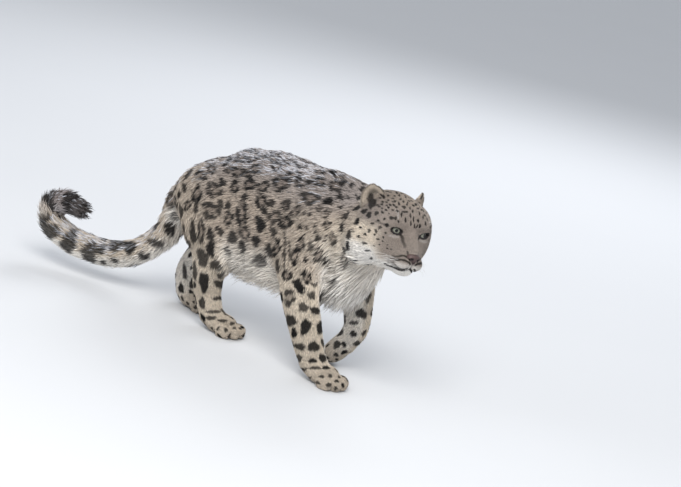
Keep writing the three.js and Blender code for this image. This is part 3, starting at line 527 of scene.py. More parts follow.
def hair_length(at):
    """Length of the hair in mm."""
    head = 7 + 24 * at.ruff + 26 * at.throat - 3 * at.face
    head = np.where(at.muzzle > 0.5, 3.4, head)
    leg = mix(30, 13, ramp(at.leg_way, 0.1, 0.7))
    length = at.blend_of(32 + 32 * at.below, 34, 66, 44, head, leg, 8)
    return np.where(at.ear > 0.5, np.where(at.ear_inside > 0.5, 6, 5), length)


def coat_depth(at):
    """How far the skin lies inside the solids, in mm."""
    return 1.2 + hair_length(at) * 0.3


def hair_width(at):
    """Width of a tuft in mm."""
    head = 1.5 + 1.6 * at.ruff + 1.8 * at.throat
    width = at.blend_of(3.7, 3.6, 4.0, 4.0, head, mix(3.3, 2.5, ramp(at.leg_way, 0.2, 0.8)), 2.0)
    return np.where(at.ear > 0.5, 1.5, width)


def inner_side(p, n):
    """How far a leg's surface faces the other side's leg, from -1 to 1."""
    return np.sign(p[:, 1] + np.where(p[:, 0] > -300, 10, 2)) * -n[:, 1]


# Pale fur under and over the eye, in the head's own axes: middle, half sizes and how pale
PALE_PATCHES = (((61, 42, 1), (14, 15, 3.6), 0.22), ((60, 34, 35), (13, 12, 6), 0.7))


def ground_colour(at):
    """The coat between its marks, with painted shade deep in the ears' cups."""
    look = bpy.context.scene.leopard_coat
    grey, flank, cream, white = (np.array(c) for c in (look.back, look.flank, look.cream, look.white))
    ink, rims = np.array(look.marks), np.array(look.rims)
    n, q, p = at.n, at.q, at.p
    side = mix(cream, flank, ramp(p[:, 2], 225, 330))
    side = mix(side, grey, ramp(n[:, 2], 0.1, 0.7))
    side = mix(side, mix(cream, white, 0.6), ramp(-n[:, 2], 0.1, 0.6))
    chest = mix(white, cream, ramp(p[:, 2], 290, 420) * 0.6)
    inner = inner_side(p, n)
    leg = mix(flank, cream, 0.35 + 0.65 * ramp(at.leg_way, 0.15, 0.5))
    leg = mix(leg, mix(cream, white, 0.75), ramp(inner, 0.1, 0.7) * 0.85)
    foot = mix(cream, flank, 0.35)
    tail = mix(mix(flank, cream, 0.5), mix(cream, white, 0.8), ramp(-n[:, 2], -0.15, 0.55))
    tail = mix(tail, np.array(look.smoke), ramp(at.tail_way, 0.7, 0.86) * 0.75)
    crown = mix(mix(flank, grey, 0.6), flank * 0.8, ramp(q[:, 2], 50, 90))
    head = mix(crown, cream * 1.15, ramp(-q[:, 2], -26, 6) * ramp(-q[:, 0], -72, -36) * 0.92)
    head = mix(head, mix(flank, grey, 0.5) * 0.86, ramp(q[:, 0], 50, 74) * ramp(q[:, 2], -50, -34) * 0.9)
    head = mix(head, white, ramp(-q[:, 2], 24, 52) * ramp(-q[:, 0], -62, -40))
    head = mix(head, white, ramp(-q[:, 2], 60, 66) * ramp(q[:, 0], 36, 60))
    head = mix(head, white, ramp(q[:, 0], 90, 102) * ramp(-q[:, 2], 46, 56) * 0.6)
    for centre, radii, most in PALE_PATCHES:
        head = mix(head, white, ramp(-ellipsoid(folded(q), centre, radii), -7, 2) * most)
    h, a = at.ear_place[:, 0], at.ear_place[:, 1]
    cup = np.hypot(a / 0.72, (h - 0.38) / 0.5)
    # inside an ear: painted shade in the face-marks colour deep in the cup, fading to buff towards the rim; cream at
    # the inner edge
    inside = mix(rims, mix(flank, cream, 0.35), ramp(cup, 0.45, 0.95))
    inside = mix(inside, cream, ramp(-a, 0.45, 1.0) * ramp(h, 0.1, 0.5) * 0.6)
    outside = mix(mix(flank, cream, 0.4), ink, ramp(np.hypot(a / 0.9, (h - 0.5) / 0.42), 0.75, 1.05))
    ear = mix(outside, inside, at.ear_inside)
    ear = mix(ear, ink, ramp(np.hypot(a, np.maximum(h - 0.2, 0) * 1.22), 0.87, 0.95) * 0.85)
    head = mix(head, ear, at.ear)
    parts = ((at.trunk, side), (at.neck, mix(side, cream, ramp(-n[:, 2], -0.4, 0.2) * 0.8)), (at.chest, chest),
             (at.tail, tail), (at.head, head), (at.legs, leg), (at.paws, foot))
    return sum(share[:, None] * value for share, value in parts)


def mark_spacing(at):
    """The distance between neighbouring marks in mm."""
    q = at.q
    head = mix(20, 8.8, ramp(q[:, 2], 30, 52) * ramp(q[:, 0], -60, -20))
    leg = mix(42, 30, ramp(at.leg_way, 0.2, 0.85))
    trunk = mix(47, 36, at.above)
    return at.blend_of(trunk, 38, 46, 50, head, leg, 17)


def camera_axes():
    """The photo's eye point and its right, up and backward directions."""
    az, el, roll = (math.radians(x) for x in (AZIMUTH, ELEVATION, ROLL))
    back = np.array([math.sin(az) * math.cos(el), -math.cos(az) * math.cos(el), math.sin(el)])
    level = np.array([math.cos(az), math.sin(az), 0.0])
    upright = np.cross(back, level)
    right = level * math.cos(roll) + upright * math.sin(roll)
    up = upright * math.cos(roll) - level * math.sin(roll)
    across = (AIM_PIXEL[0] - FRAME_WIDE / 2) / FOCAL * AWAY
    above = (FRAME_HIGH / 2 - AIM_PIXEL[1]) / FOCAL * AWAY
    return AIM + back * AWAY - right * across - up * above, right, up, back


class Marks:
    """The photo's marks and painted ear shadow, then rosettes on the flanks and back and spots elsewhere, spread over
    the rest.
    """

    def __init__(self, points, normals, tree):
        rng = np.random.default_rng(MARKS_SEED)
        eye, right, up, back = camera_axes()
        own = np.array([right, up, back])
        flip = HEAD_TURN @ np.diag([1.0, -1, 1]) @ HEAD_TURN.T
        centre, axes, radii, ring = [], [], [], []

        def on_coat(x, y):
            """Where a pixel of the photo falls on the skin, or None."""
            return cast(tree, eye, unit(right * (x - FRAME_WIDE / 2) + up * (FRAME_HIGH / 2 - y) - back * FOCAL))

        # marks that the photo shows past the face's middle, which copies of the near side's must not double
        far_side = [np.full(3, 1e6)]
        for x, y, *_ in in_photo("face"):
            c = on_coat(x, y)
            if c is not None and to_head(c[None])[0, 1] > 2.5:
                far_side.append(c)
        for group in SEEN_MARKS_AND_EAR_SHADOW:
            for x, y, wide, high, is_ring in in_photo(group):
                c = on_coat(x, y)
                if c is None:
                    continue
                scale = -(c - eye) @ back / FOCAL
                size = np.array([wide, high, 2.4 * max(wide, high)]) * scale * (1.25 if group == "face" else 1.08)
                side = to_head(c[None])[0, 1]
                centre.append(c)
                axes.append(own)
                radii.append(size)
                ring.append(is_ring)
                if group == "face" and side < -2.5:
                    other = flip @ (c - HEAD_AT) + HEAD_AT
                    if side > -30 and min(np.linalg.norm(x - other) for x in far_side) < 10:
                        continue
                    centre.append(other)
                    axes.append(own @ flip.T)
                    radii.append(size)
                    ring.append(is_ring)
        placed = len(centre)
        pick = rng.permutation(len(points))[:SCATTER_TRIES]
        at = Place(points[pick], normals[pick])
        gap = mark_spacing(at)
        q = at.q
        clear = (at.ear > 0.3) | (at.chest > 0.35) | (at.trunk > 0.3) & (at.n[:, 2] < -0.5)
        clear |= (at.head > 0.5) & ((q[:, 2] < 28) & (q[:, 0] > -24) | (q[:, 0] > 58) | (q[:, 2] < -30))
        clear |= (at.neck > 0.4) & (at.n[:, 2] < -0.35)
        clear |= (at.legs > 0.5) & (inner_side(at.p, at.n) > 0.5) & (at.leg_way < 0.6)
        chosen, spots = [], list(centre)
        clearance = [float(r[:2].mean()) + 7 for r in radii]
        for i, (p, r) in enumerate(zip(at.p, gap)):
            if clear[i]:
                continue
            d = np.linalg.norm(np.array(spots) - p, axis=1)
            need = np.where(np.arange(len(spots)) < placed, np.array(clearance) + r * 0.38, r)
            if np.any(d < need):
                continue
            chosen.append(i)
            spots.append(p)
            clearance.append(r)
        c = np.array(chosen)
        lie, normal = at.lie[c], at.n[c]
        count = len(c)
        ringed = (at.trunk[c] > 0.45) & (at.n[c, 2] > -0.4) & (at.p[c, 2] > 300)
        size = gap[c] * rng.uniform(0.3, 0.44, count) * (1 + 0.1 * ringed)
        spotty = at.head[c] > 0.5
        size = np.where(spotty, gap[c] * rng.uniform(0.36, 0.5, count), size)
        long = rng.uniform(1.0, 1.5, count)
        self.centre = np.concatenate([np.array(centre).reshape(-1, 3), at.p[c]])
        frames = np.stack([lie, np.cross(normal, lie), normal], 1)
        self.axes = np.concatenate([np.array(axes).reshape(-1, 3, 3), frames])
        size = np.column_stack([size * long, size / np.sqrt(long), np.maximum(size * 1.2, 16)])
        self.radii = np.concatenate([np.array(radii).reshape(-1, 3), size])
        self.radii[:, 2] = np.maximum(self.radii[:, 2], 14)
        self.ring = np.concatenate([np.array(ring, float), ringed.astype(float)])
        total = len(self.centre)
        self.phase = rng.random((total, 5)) * math.tau
        self.strength = rng.uniform(0.85, 1.0, total)
        self.breaks = rng.integers(2, 5, total)
        self.tree = KDTree(total)
        for i, p in enumerate(self.centre):
            self.tree.insert(p, i)
        self.tree.balance()

    def darkness(self, p):
        """0 on the coat's ground to 1 on a mark, and how much a rosette's middle is filled."""
        near = np.array([[hit[1] for hit in self.tree.find_n(x, 6)] for x in p])
        dark, fill = np.zeros(len(p)), np.zeros(len(p))
        for k in range(near.shape[1]):
            m = near[:, k]
            d = np.einsum("nij,nj->ni", self.axes[m], p - self.centre[m]) / self.radii[m]
            away = np.linalg.norm(d, axis=1)
            angle = np.arctan2(d[:, 1], d[:, 0])
            ph = self.phase[m]
            away *= 1 + 0.12 * np.sin(2 * angle + ph[:, 0]) + 0.1 * np.sin(3 * angle + ph[:, 1])
            away *= 1 + 0.08 * np.sin(5 * angle + ph[:, 2])
            spot = ramp(-away, -1.12, -0.86)
            ring = ramp(-np.abs(away - 0.78), -0.42, -0.26)
            gaps = ramp(np.sin(self.breaks[m] * angle + ph[:, 3]) + 0.3 * np.sin(7 * angle + ph[:, 4]), -0.95, -0.5)
            r = self.ring[m]
            dark = np.maximum(dark, self.strength[m] * (r * ring * (0.3 + 0.7 * gaps) + (1 - r) * spot))
            fill = np.maximum(fill, r * ramp(-away, -0.8, -0.5) * 0.55)
        return dark, fill


def near_line(q, points):
    """Distance of points from a line of points, and the share of the way along it."""
    points = np.array(points, float)
    best, way = np.full(len(q), 1e9), np.zeros(len(q))
    for i, (a, b) in enumerate(zip(points, points[1:])):
        v = b - a
        t = np.clip((q - a) @ v / (v @ v), 0, 1)
        r = np.linalg.norm(q - a - np.outer(t, v), axis=1)
        m = r < best
        best[m], way[m] = r[m], (i + t[m]) / (len(points) - 1)
    return best, way


# Lines on the head, in its own axes, for its left side
MOUTH = [(62, 38, -67), (73, 34, -70), (87, 27, -69), (100, 15, -66), (108, 0, -63)]
PHILTRUM = [(112, 0, -44), (113, 0, -52), (109, 0, -63)]
FACE_LINES = [  # a line, its half width in mm and its strength
    ([(66, 29, 12), (72, 25, 5), (80, 21, -5), (88, 18, -15)], 4.2, 1.0),
    ([(49, 51, 19), (40, 56, 20), (28, 63, 17)], 2.2, 0.8),
    ([(98, 12, -28), (103, 13, -36), (106, 12, -44)], 2.6, 0.8),
    ([(104, 12, -46), (92, 27, -45), (78, 35, -42)], 2.8, 1.0),
    ([(105, 13, -51), (92, 29, -51), (74, 38, -48)], 2.8, 1.0),
    ([(105, 14, -56), (92, 30, -57), (72, 39, -55)], 2.8, 1.0),
    ([(103, 16, -61), (90, 30, -63), (70, 39, -62)], 2.8, 1.0),
]
# Rows of whiskers: the row's height, and how far forward each root is
WHISKER_ROWS = [(z, (101, 95, 88, 81, 74)) for z in (-45, -51, -57, -62)]


def on_skin(points):
    """Points of the head, in its own axes, moved onto its skin."""
    p = from_head(points)
    for _ in range(6):
        v, g = slope(skull, p)
        p = p - g * ((v + 2.0) / np.maximum((g * g).sum(1), 0.2))[:, None]
    return to_head(p)


def fine_line(points, steps=24):
    """A smooth line on the head's skin through a few of its points."""
    return on_skin(np.array([smooth_line(points, k / steps) for k in range(steps + 1)]))


MOUTH, PHILTRUM = fine_line(MOUTH), fine_line(PHILTRUM, 8)
FACE_LINES = [(fine_line(line, 12), *rest) for line, *rest in FACE_LINES]


def head_marks(q):
    """Dark lines of the face: from the eyes to the nose, on the lips and through the whisker pads."""
    f = folded(q)
    dark = np.zeros(len(q))
    waver = 1 + 0.2 * np.sin(q[:, 0] * 0.41 + q[:, 1] * 0.23) + 0.15 * np.sin(q[:, 2] * 0.5 + q[:, 1] * 0.31)
    for line, wide, most in FACE_LINES:
        d, way = near_line(f, line)
        dark = np.maximum(dark, most * (1 - 0.5 * way) * ramp(-d, -wide * 1.4 * waver, -wide * 0.6))
    d, way = near_line(f, MOUTH)
    dark = np.maximum(dark, ramp(-d, -5.8 + 1.2 * way, -3.6 + 1.0 * way))
    for side in (1, -1):
        centre, _, out, up = eye_frame(side)
        d = from_head(q) - centre
        share = inside_opening(d @ out, d @ up, 3.4)
        dark = np.maximum(dark, ramp(-share, -1.3, -1.12) * (np.linalg.norm(d, axis=1) < 40))
    d, _ = near_line(f, PHILTRUM)
    return np.maximum(dark, 0.8 * ramp(-d, -2.6, -1.0))


def marked(ground, at, where, marks):
    """The coat's colour at points on or over the skin; at and ground belong to their roots."""
    look = bpy.context.scene.leopard_coat
    ink, brown, rims = (np.array(c) for c in (look.marks, look.inner, look.rims))
    dark, fill = marks.darkness(where)
    soft = 1 - 0.3 * at.below * at.trunk
    colour = mix(ground, brown, fill * (1 - at.below))
    way = at.tail_way
    end = ramp(way, 0.72, 0.78)
    bands = ramp(np.sin((way - 0.6) * 62), -0.1, 0.5) * 0.9
    own = np.maximum(dark * (1 - end), bands * end)
    dark = np.where(at.tail > 0.5, np.maximum(own, 0.72 * ramp(way, 0.9, 0.95)), dark)
    # the marks' colour here also paints the shadow in the ears' openings that is listed among the face's marks
    colour = mix(colour, ink, dark * soft)
    face = head_marks(to_head(where)) * ramp(at.head, 0.4, 0.8) * (1 - at.ear)
    return mix(colour, rims, face)


# Meshes

COLOUR_LAYER = "coat"


def mesh_of(name, points, faces):
    """points in the solids' millimetres; faces as one array, or a list of arrays, of equal-sided faces."""
    faces = faces if isinstance(faces, list) else [faces]
    faces = [f for f in faces if len(f)]
    me = bpy.data.meshes.new(name)
    me.vertices.add(len(points))
    me.vertices.foreach_set("co", to_metres(points).astype(np.float32).ravel())
    total = sum(f.size for f in faces)
    me.loops.add(total)
    me.loops.foreach_set("vertex_index", np.concatenate([f.ravel() for f in faces]).astype(np.int32))
    sizes = np.concatenate([np.full(len(f), f.shape[1]) for f in faces])
    me.polygons.add(len(sizes))
    me.polygons.foreach_set("loop_start", np.concatenate([[0], np.cumsum(sizes)[:-1]]).astype(np.int32))
    me.update(calc_edges=True)
    me.validate()
    me.polygons.foreach_set("use_smooth", np.ones(len(me.polygons), bool))
    ob = bpy.data.objects.new(name, me)
    bpy.context.scene.collection.objects.link(ob)
    return ob


def points_of(me):
    """A mesh's points in the solids' millimetres."""
    co = np.empty(len(me.vertices) * 3, np.float32)
    me.vertices.foreach_get("co", co)
    return to_mm(co.reshape(-1, 3))


def normals_of(me):
    """The directions that a mesh's points face."""
    no = np.empty(len(me.vertices) * 3, np.float32)
    me.vertices.foreach_get("normal", no)
    return no.reshape(-1, 3).astype(float)


def place_points(me, p):
    """Moves a mesh's points to the given places."""
    me.vertices.foreach_set("co", to_metres(p).astype(np.float32).ravel())
    me.update()


def edges_of(me):
    """The pairs of points that a mesh's edges join."""
    e = np.empty(len(me.edges) * 2, np.int32)
    me.edges.foreach_get("vertices", e)
    return e.reshape(-1, 2)


def relax(values, edges, rounds, share=0.5):
    """Moves each value part of the way to the mean of its neighbours', round after round."""
    count = np.bincount(edges.ravel(), minlength=len(values)).astype(float)
    count = np.maximum(count, 1)
    values = values.astype(float).copy()
    shape = values.shape
    values = values.reshape(len(values), -1)
    share = np.broadcast_to(np.asarray(share, float), (len(values),))[:, None]
    for _ in range(rounds):
        mean = np.empty_like(values)
        for c in range(values.shape[1]):
            s = np.bincount(edges[:, 0], values[edges[:, 1], c], len(values))
            s += np.bincount(edges[:, 1], values[edges[:, 0], c], len(values))
            mean[:, c] = s / count
        values += share * (mean - values)
    return values.reshape(shape)


def paint(ob, colours):
    """Stores a colour for each point, which the materials read."""
    layer = ob.data.color_attributes.new(COLOUR_LAYER, "FLOAT_COLOR", "POINT")
    rgba = np.ones((len(ob.data.vertices), 4), np.float32)
    rgba[:, :3] = colours
    layer.data.foreach_set("color", rgba.ravel())


# Materials

def add(tree, kind, at, **inputs):
    """One node with its settings (set_NAME) and inputs (by name with _ for a space, or by number as i0)."""
    node = tree.nodes.new(kind)
    node.location = at
    for key, value in inputs.items():
        if key.startswith("set_"):
            setattr(node, key[4:], value)
            continue
        slot = int(key[1:]) if key[0] == "i" and key[1:].isdigit() else key.replace("_", " ")
        socket = node.inputs[slot]
        if isinstance(value, bpy.types.NodeSocket):
            tree.links.new(value, socket)
        else:
            socket.default_value = value
    return node


# Sizes of the patterns in mm, as judged. At the photo's distance a pixel is 2.9 mm, so those below that
# show only in closer views.
UNDERCOAT_STRAND, GUARD_STRAND, COAT_PATCH = 1.111, 0.7143, 45.45
NOSE_PEBBLE, NOSE_CLOUD, IRIS_FLECK, WHISKER_STRETCH, FLOOR_CLOUD = 1.43, 6.25, 1.11, 3.33, 667


def per_metre(mm):
    """The scale of a pattern whose details are so many mm across."""
    return 1000 / mm


def material(name):
    """A material and its empty tree, or None for the tree of one that is already made."""
    m = bpy.data.materials.get(name)
    if m:
        return m, None
    m = bpy.data.materials.new(name)
    m.use_nodes = True
    m.node_tree.nodes.clear()
    return m, m.node_tree


def fur_material(name, strand, bumps, sheen):
    """Hair, as grown: dry, matt and soft, with a faint sheen where it is seen along the surface.

    Its colours come from the mesh, and the pattern gives the lighter and darker strands in them. A single
    hair is under 0.1 mm thick, too fine to show, so a strand is drawn about ten times as thick. Broad patches
    are lighter and darker, as where a coat parts and closes.
    """
    m, tree = material(name)
    if tree is None:
        return m
    own = add(tree, "ShaderNodeAttribute", (-700, 200), set_attribute_name=COLOUR_LAYER)
    where = add(tree, "ShaderNodeTexCoord", (-1100, -100)).outputs["Object"]
    hair = add(tree, "ShaderNodeTexNoise", (-900, 0), Vector=where, Scale=per_metre(strand), Detail=3.0)
    patch = add(tree, "ShaderNodeTexNoise", (-900, -250), Vector=where, Scale=per_metre(COAT_PATCH), Detail=2.0)
    fine = add(tree, "ShaderNodeMapRange", (-650, 0), Value=hair.outputs["Fac"], To_Min=0.72, To_Max=1.26)
    broad = add(tree, "ShaderNodeMapRange", (-650, -250), Value=patch.outputs["Fac"], To_Min=0.88, To_Max=1.12)
    both = add(tree, "ShaderNodeMath", (-450, -100), set_operation="MULTIPLY",
               i0=fine.outputs[0], i1=broad.outputs[0])
    shade = add(tree, "ShaderNodeVectorMath", (-250, 150), set_operation="SCALE", i0=own.outputs["Color"],
                Scale=both.outputs[0])
    rough = add(tree, "ShaderNodeMapRange", (-250, -150), Value=hair.outputs["Fac"], To_Min=0.6, To_Max=0.85)
    bump = add(tree, "ShaderNodeBump", (-50, -300), Strength=bumps, Distance=0.001, Height=hair.outputs["Fac"])
    shader = add(tree, "ShaderNodeBsdfPrincipled", (250, 0), Base_Color=shade.outputs[0],
                 Roughness=rough.outputs[0], Normal=bump.outputs[0], Specular_IOR_Level=0.15,
                 Sheen_Weight=sheen, Sheen_Roughness=0.5)
    add(tree, "ShaderNodeOutputMaterial", (700, 0), Surface=shader.outputs[0])
    return m


def leather_material():
    """Bare skin of the nose and of the lids' rims: pebbled and a little damp, so with soft broad glints.

    Its colour is clouded, and its gloss changes with the clouds.
    """
    look = bpy.context.scene.leopard_face
    m, tree = material("nose leather")
    if tree is None:
        return m
    where = add(tree, "ShaderNodeTexCoord", (-1100, 0)).outputs["Object"]
    cells = add(tree, "ShaderNodeTexVoronoi", (-850, 100), Vector=where, Scale=per_metre(NOSE_PEBBLE))
    cloud = add(tree, "ShaderNodeTexNoise", (-850, -200), Vector=where, Scale=per_metre(NOSE_CLOUD), Detail=3.0)
    own = add(tree, "ShaderNodeAttribute", (-850, 400), set_attribute_name=COLOUR_LAYER)
    share = add(tree, "ShaderNodeMapRange", (-600, -200), Value=cloud.outputs["Fac"], To_Min=0.75, To_Max=1.25)
    shade = add(tree, "ShaderNodeVectorMath", (-400, 150), set_operation="SCALE", i0=own.outputs["Color"],
                Scale=share.outputs[0])
    rough = add(tree, "ShaderNodeMapRange", (-400, -100), Value=cloud.outputs["Fac"], To_Min=0.32, To_Max=0.55)
    bump = add(tree, "ShaderNodeBump", (-200, -300), Strength=0.5, Distance=0.0008,
               Height=cells.outputs["Distance"])
    shader = add(tree, "ShaderNodeBsdfPrincipled", (200, 0), Base_Color=shade.outputs[0],
                 Roughness=rough.outputs[0], Normal=bump.outputs[0], Specular_IOR_Level=look.wet)
    add(tree, "ShaderNodeOutputMaterial", (700, 0), Surface=shader.outputs[0])
    return m


def eye_material():
    """A wet cornea over the iris: smooth, with sharp small glints that make the eye look alive.

    The iris under it is flecked. The IOR is a cornea's.
    """
    m, tree = material("glossy eye")
    if tree is None:
        return m
    own = add(tree, "ShaderNodeAttribute", (-600, 100), set_attribute_name=COLOUR_LAYER)
    where = add(tree, "ShaderNodeTexCoord", (-900, -200)).outputs["Object"]
    fleck = add(tree, "ShaderNodeTexNoise", (-700, -200), Vector=where, Scale=per_metre(IRIS_FLECK), Detail=3.0)
    share = add(tree, "ShaderNodeMapRange", (-450, -200), Value=fleck.outputs["Fac"], To_Min=0.75, To_Max=1.25)
    shade = add(tree, "ShaderNodeVectorMath", (-250, 50), set_operation="SCALE", i0=own.outputs["Color"],
                Scale=share.outputs[0])
    rough = add(tree, "ShaderNodeMapRange", (-250, -150), Value=fleck.outputs["Fac"], To_Min=0.06, To_Max=0.12)
    bump = add(tree, "ShaderNodeBump", (-50, -300), Strength=0.05, Distance=0.0002, Height=fleck.outputs["Fac"])
    shader = add(tree, "ShaderNodeBsdfPrincipled", (200, 0), Base_Color=shade.outputs[0],
                 Roughness=rough.outputs[0], Normal=bump.outputs[0], IOR=1.376)
    add(tree, "ShaderNodeOutputMaterial", (700, 0), Surface=shader.outputs[0])
    return m


def whisker_material():
    """A whisker, as grown: stiff, smooth, almost white hair, with a fine bright line along it.

    Its colour and gloss change a little along its length.
    """
    look = bpy.context.scene.leopard_face
    m, tree = material("whisker hair")
    if tree is None:
        return m
    where = add(tree, "ShaderNodeTexCoord", (-900, 0)).outputs["Object"]
    grain = add(tree, "ShaderNodeTexNoise", (-700, 0), Vector=where, Scale=per_metre(WHISKER_STRETCH))
    pale = add(tree, "ShaderNodeMixRGB", (-400, 0), i0=grain.outputs["Fac"],
               i1=(*look.whisker_low, 1), i2=(*look.whisker_high, 1))
    rough = add(tree, "ShaderNodeMapRange", (-400, -200), Value=grain.outputs["Fac"], To_Min=0.3, To_Max=0.5)
    bump = add(tree, "ShaderNodeBump", (-200, -300), Strength=0.2, Distance=0.0003, Height=grain.outputs["Fac"])
    shader = add(tree, "ShaderNodeBsdfPrincipled", (200, 0), Base_Color=pale.outputs[0],
                 Roughness=rough.outputs[0], Normal=bump.outputs[0])
    add(tree, "ShaderNodeOutputMaterial", (700, 0), Surface=shader.outputs[0])
    return m


def floor_material():
    """A studio's painted floor: matt and even, with broad clouds that hardly show."""
    look = bpy.context.scene.leopard_stage
    m, tree = material("studio floor")
    if tree is None:
        return m
    where = add(tree, "ShaderNodeTexCoord", (-900, 0)).outputs["Object"]
    grain = add(tree, "ShaderNodeTexNoise", (-700, 0), Vector=where, Scale=per_metre(FLOOR_CLOUD))
    rgb = np.array(look.floor)
    pale = add(tree, "ShaderNodeMixRGB", (-400, 0), i0=grain.outputs["Fac"], i1=(*(rgb * 0.98), 1), i2=(*rgb, 1))
    shader = add(tree, "ShaderNodeBsdfPrincipled", (200, 0), Base_Color=pale.outputs[0], Roughness=0.9,
                 Specular_IOR_Level=0.2)
    add(tree, "ShaderNodeOutputMaterial", (700, 0), Surface=shader.outputs[0])
    return m


# Settings

def tone(code):
    """A linear colour from an sRGB hex value."""
    c = np.array([int(code[i:i + 2], 16) for i in (1, 3, 5)]) / 255
    return tuple(np.where(c <= 0.04045, c / 12.92, ((c + 0.055) / 1.055) ** 2.4))


COLOUR = {"subtype": "COLOR", "size": 3, "min": 0.0, "max": 1.0}


class LeopardCoat(bpy.types.PropertyGroup):
    """Colours and number of the hairs."""

    back: bpy.props.FloatVectorProperty(
        name="Back", description="Smoke grey of the back and the crown", default=tone("#918883"), **COLOUR)
    flank: bpy.props.FloatVectorProperty(
        name="Flank", description="Grey buff of the upper side", default=tone("#ac9e90"), **COLOUR)
    cream: bpy.props.FloatVectorProperty(
        name="Lower flank", description="Cream of the lower side, legs and cheeks", default=tone("#d8cbb9"), **COLOUR)
    white: bpy.props.FloatVectorProperty(
        name="Belly and throat", description="White of the belly, throat and chin", default=tone("#f3efe9"), **COLOUR)
    # also the colour of the painted shadow in the ears' openings
    marks: bpy.props.FloatVectorProperty(
        name="Marks", description="Brown black of the rosettes and spots", default=tone("#0e0b0a"), **COLOUR)
    inner: bpy.props.FloatVectorProperty(
        name="Rosette middles", description="Darker ground inside a rosette", default=tone("#776a60"), **COLOUR)
    smoke: bpy.props.FloatVectorProperty(
        name="Tail end", description="Ground of the tail's last third", default=tone("#7c7478"), **COLOUR)
    # this colour also paints the shade deep in the ears' cups
    rims: bpy.props.FloatVectorProperty(
        name="Face marks", description="Lines of the eyes and lips, and the depth of the ears",
        default=tone("#1e1a18"), **COLOUR)
    frost: bpy.props.FloatVectorProperty(
        name="Frost", description="Cold pale tips of the back and the tail", default=tone("#dee0e8"), **COLOUR)
    tufts: bpy.props.IntProperty(
        name="Tufts", description="Number of tufts over the whole coat", default=128000, min=1000)


class LeopardFace(bpy.types.PropertyGroup):
    """Colours of the bare parts and the size of the eye openings."""

    iris: bpy.props.FloatVectorProperty(
        name="Iris", description="Pale grey green of the iris", default=tone("#8d8e80"), **COLOUR)
    iris_rim: bpy.props.FloatVectorProperty(
        name="Iris rim", description="Dark ring round the iris", default=tone("#4a4d42"), **COLOUR)
    eye_edge: bpy.props.FloatVectorProperty(
        name="Eye outside the iris", description="Dark tissue between iris and lids", default=tone("#1c1817"), **COLOUR)
    pupil: bpy.props.FloatVectorProperty(
        name="Pupil", description="Black of the round pupil", default=tone("#050505"), **COLOUR)
    lid: bpy.props.FloatVectorProperty(
        name="Lids", description="Bare black rims of the lids", default=tone("#211c1b"), **COLOUR)
    nose: bpy.props.FloatVectorProperty(
        name="Nose", description="Liver pink of the nose's leather", default=tone("#4f3d3a"), **COLOUR)
    nostril: bpy.props.FloatVectorProperty(
        name="Nostrils", description="Dark inside of the nostrils", default=tone("#2b2222"), **COLOUR)
    whisker_low: bpy.props.FloatVectorProperty(
        name="Whiskers, darker", description="Darker stretches of the whiskers", default=tone("#d9d5cf"), **COLOUR)
    whisker_high: bpy.props.FloatVectorProperty(
        name="Whiskers, lighter", description="Lighter stretches of the whiskers", default=tone("#f4f2ee"), **COLOUR)
    wet: bpy.props.FloatProperty(
        name="Nose gloss", description="Strength of the nose's and lids' reflections", default=0.45,
        min=0.0, max=1.0, subtype="FACTOR")
    opening_wide: bpy.props.FloatProperty(
        name="Eye opening width", description="From corner to corner of the lids", default=0.027,
        min=0.005, max=0.04, precision=4, unit="LENGTH")
    opening_high: bpy.props.FloatProperty(
        name="Eye opening height", description="Between the lids at their widest", default=0.0135,
        min=0.002, max=0.03, precision=4, unit="LENGTH")


class LeopardStage(bpy.types.PropertyGroup):
    """The floor, the light and the lens."""

    floor: bpy.props.FloatVectorProperty(
        name="Floor", description="Colour of the studio floor", default=tone("#cfd0d2"), **COLOUR)
    key: bpy.props.FloatProperty(
        name="Key light", description="Power of the main light, which the other two follow", default=330.0,
        min=0.0, unit="POWER")
    sky: bpy.props.FloatProperty(
        name="Sky", description="Strength of the even light from all round", default=0.72, min=0.0)
    lens: bpy.props.FloatProperty(
        name="Lens", description="Focal length of the camera's lens", default=127.7, min=10.0, unit="CAMERA")


# The face

def eye_frame(side):
    """An eye's centre, gaze, way outwards and way up."""
    centre = from_head([(EYE_AT[0], EYE_AT[1] * side, EYE_AT[2])])[0]
    gaze = unit(np.array([GAZE[0], GAZE[1] * side, GAZE[2]])) @ HEAD_TURN.T
    up = HEAD_TURN[:, 2] - gaze * (HEAD_TURN[:, 2] @ gaze)
    up = unit(up)
    out = unit(np.cross(up, gaze)) * side
    if out @ HEAD_TURN[:, 1] * side < 0:
        out = -out
    return centre, gaze, out, up


TILT = math.radians(9)  # the outer corner stands higher than the inner one


def half_opening(grow):
    """Half the width and half the height in mm of the eye opening grown by so many mm."""
    look = bpy.context.scene.leopard_face
    wide, high = look.opening_wide * 1000, look.opening_high * 1000
    return wide / 2 + grow, high / 2 + grow * 0.9


def opening(angle, grow):
    """The rim of the eye opening: across (outwards) and up, in mm."""
    a, b = half_opening(grow)
    c, s = np.cos(angle), np.sin(angle)
    x = a * c
    y = b * s * (1 - 0.35 * c * c) * np.where(s > 0, 0.8, 1.0)
    x = x - 0.06 * a * (1 - c * c)
    return x * math.cos(TILT) - y * math.sin(TILT), x * math.sin(TILT) + y * math.cos(TILT)


def inside_opening(u, v, grow):
    """Below 1 inside the opening grown by so many mm."""
    x = u * math.cos(TILT) + v * math.sin(TILT)
    y = -u * math.sin(TILT) + v * math.cos(TILT)
    a, b = half_opening(grow)
    return np.sqrt((x / a) ** 2 + (y / b) ** 2)


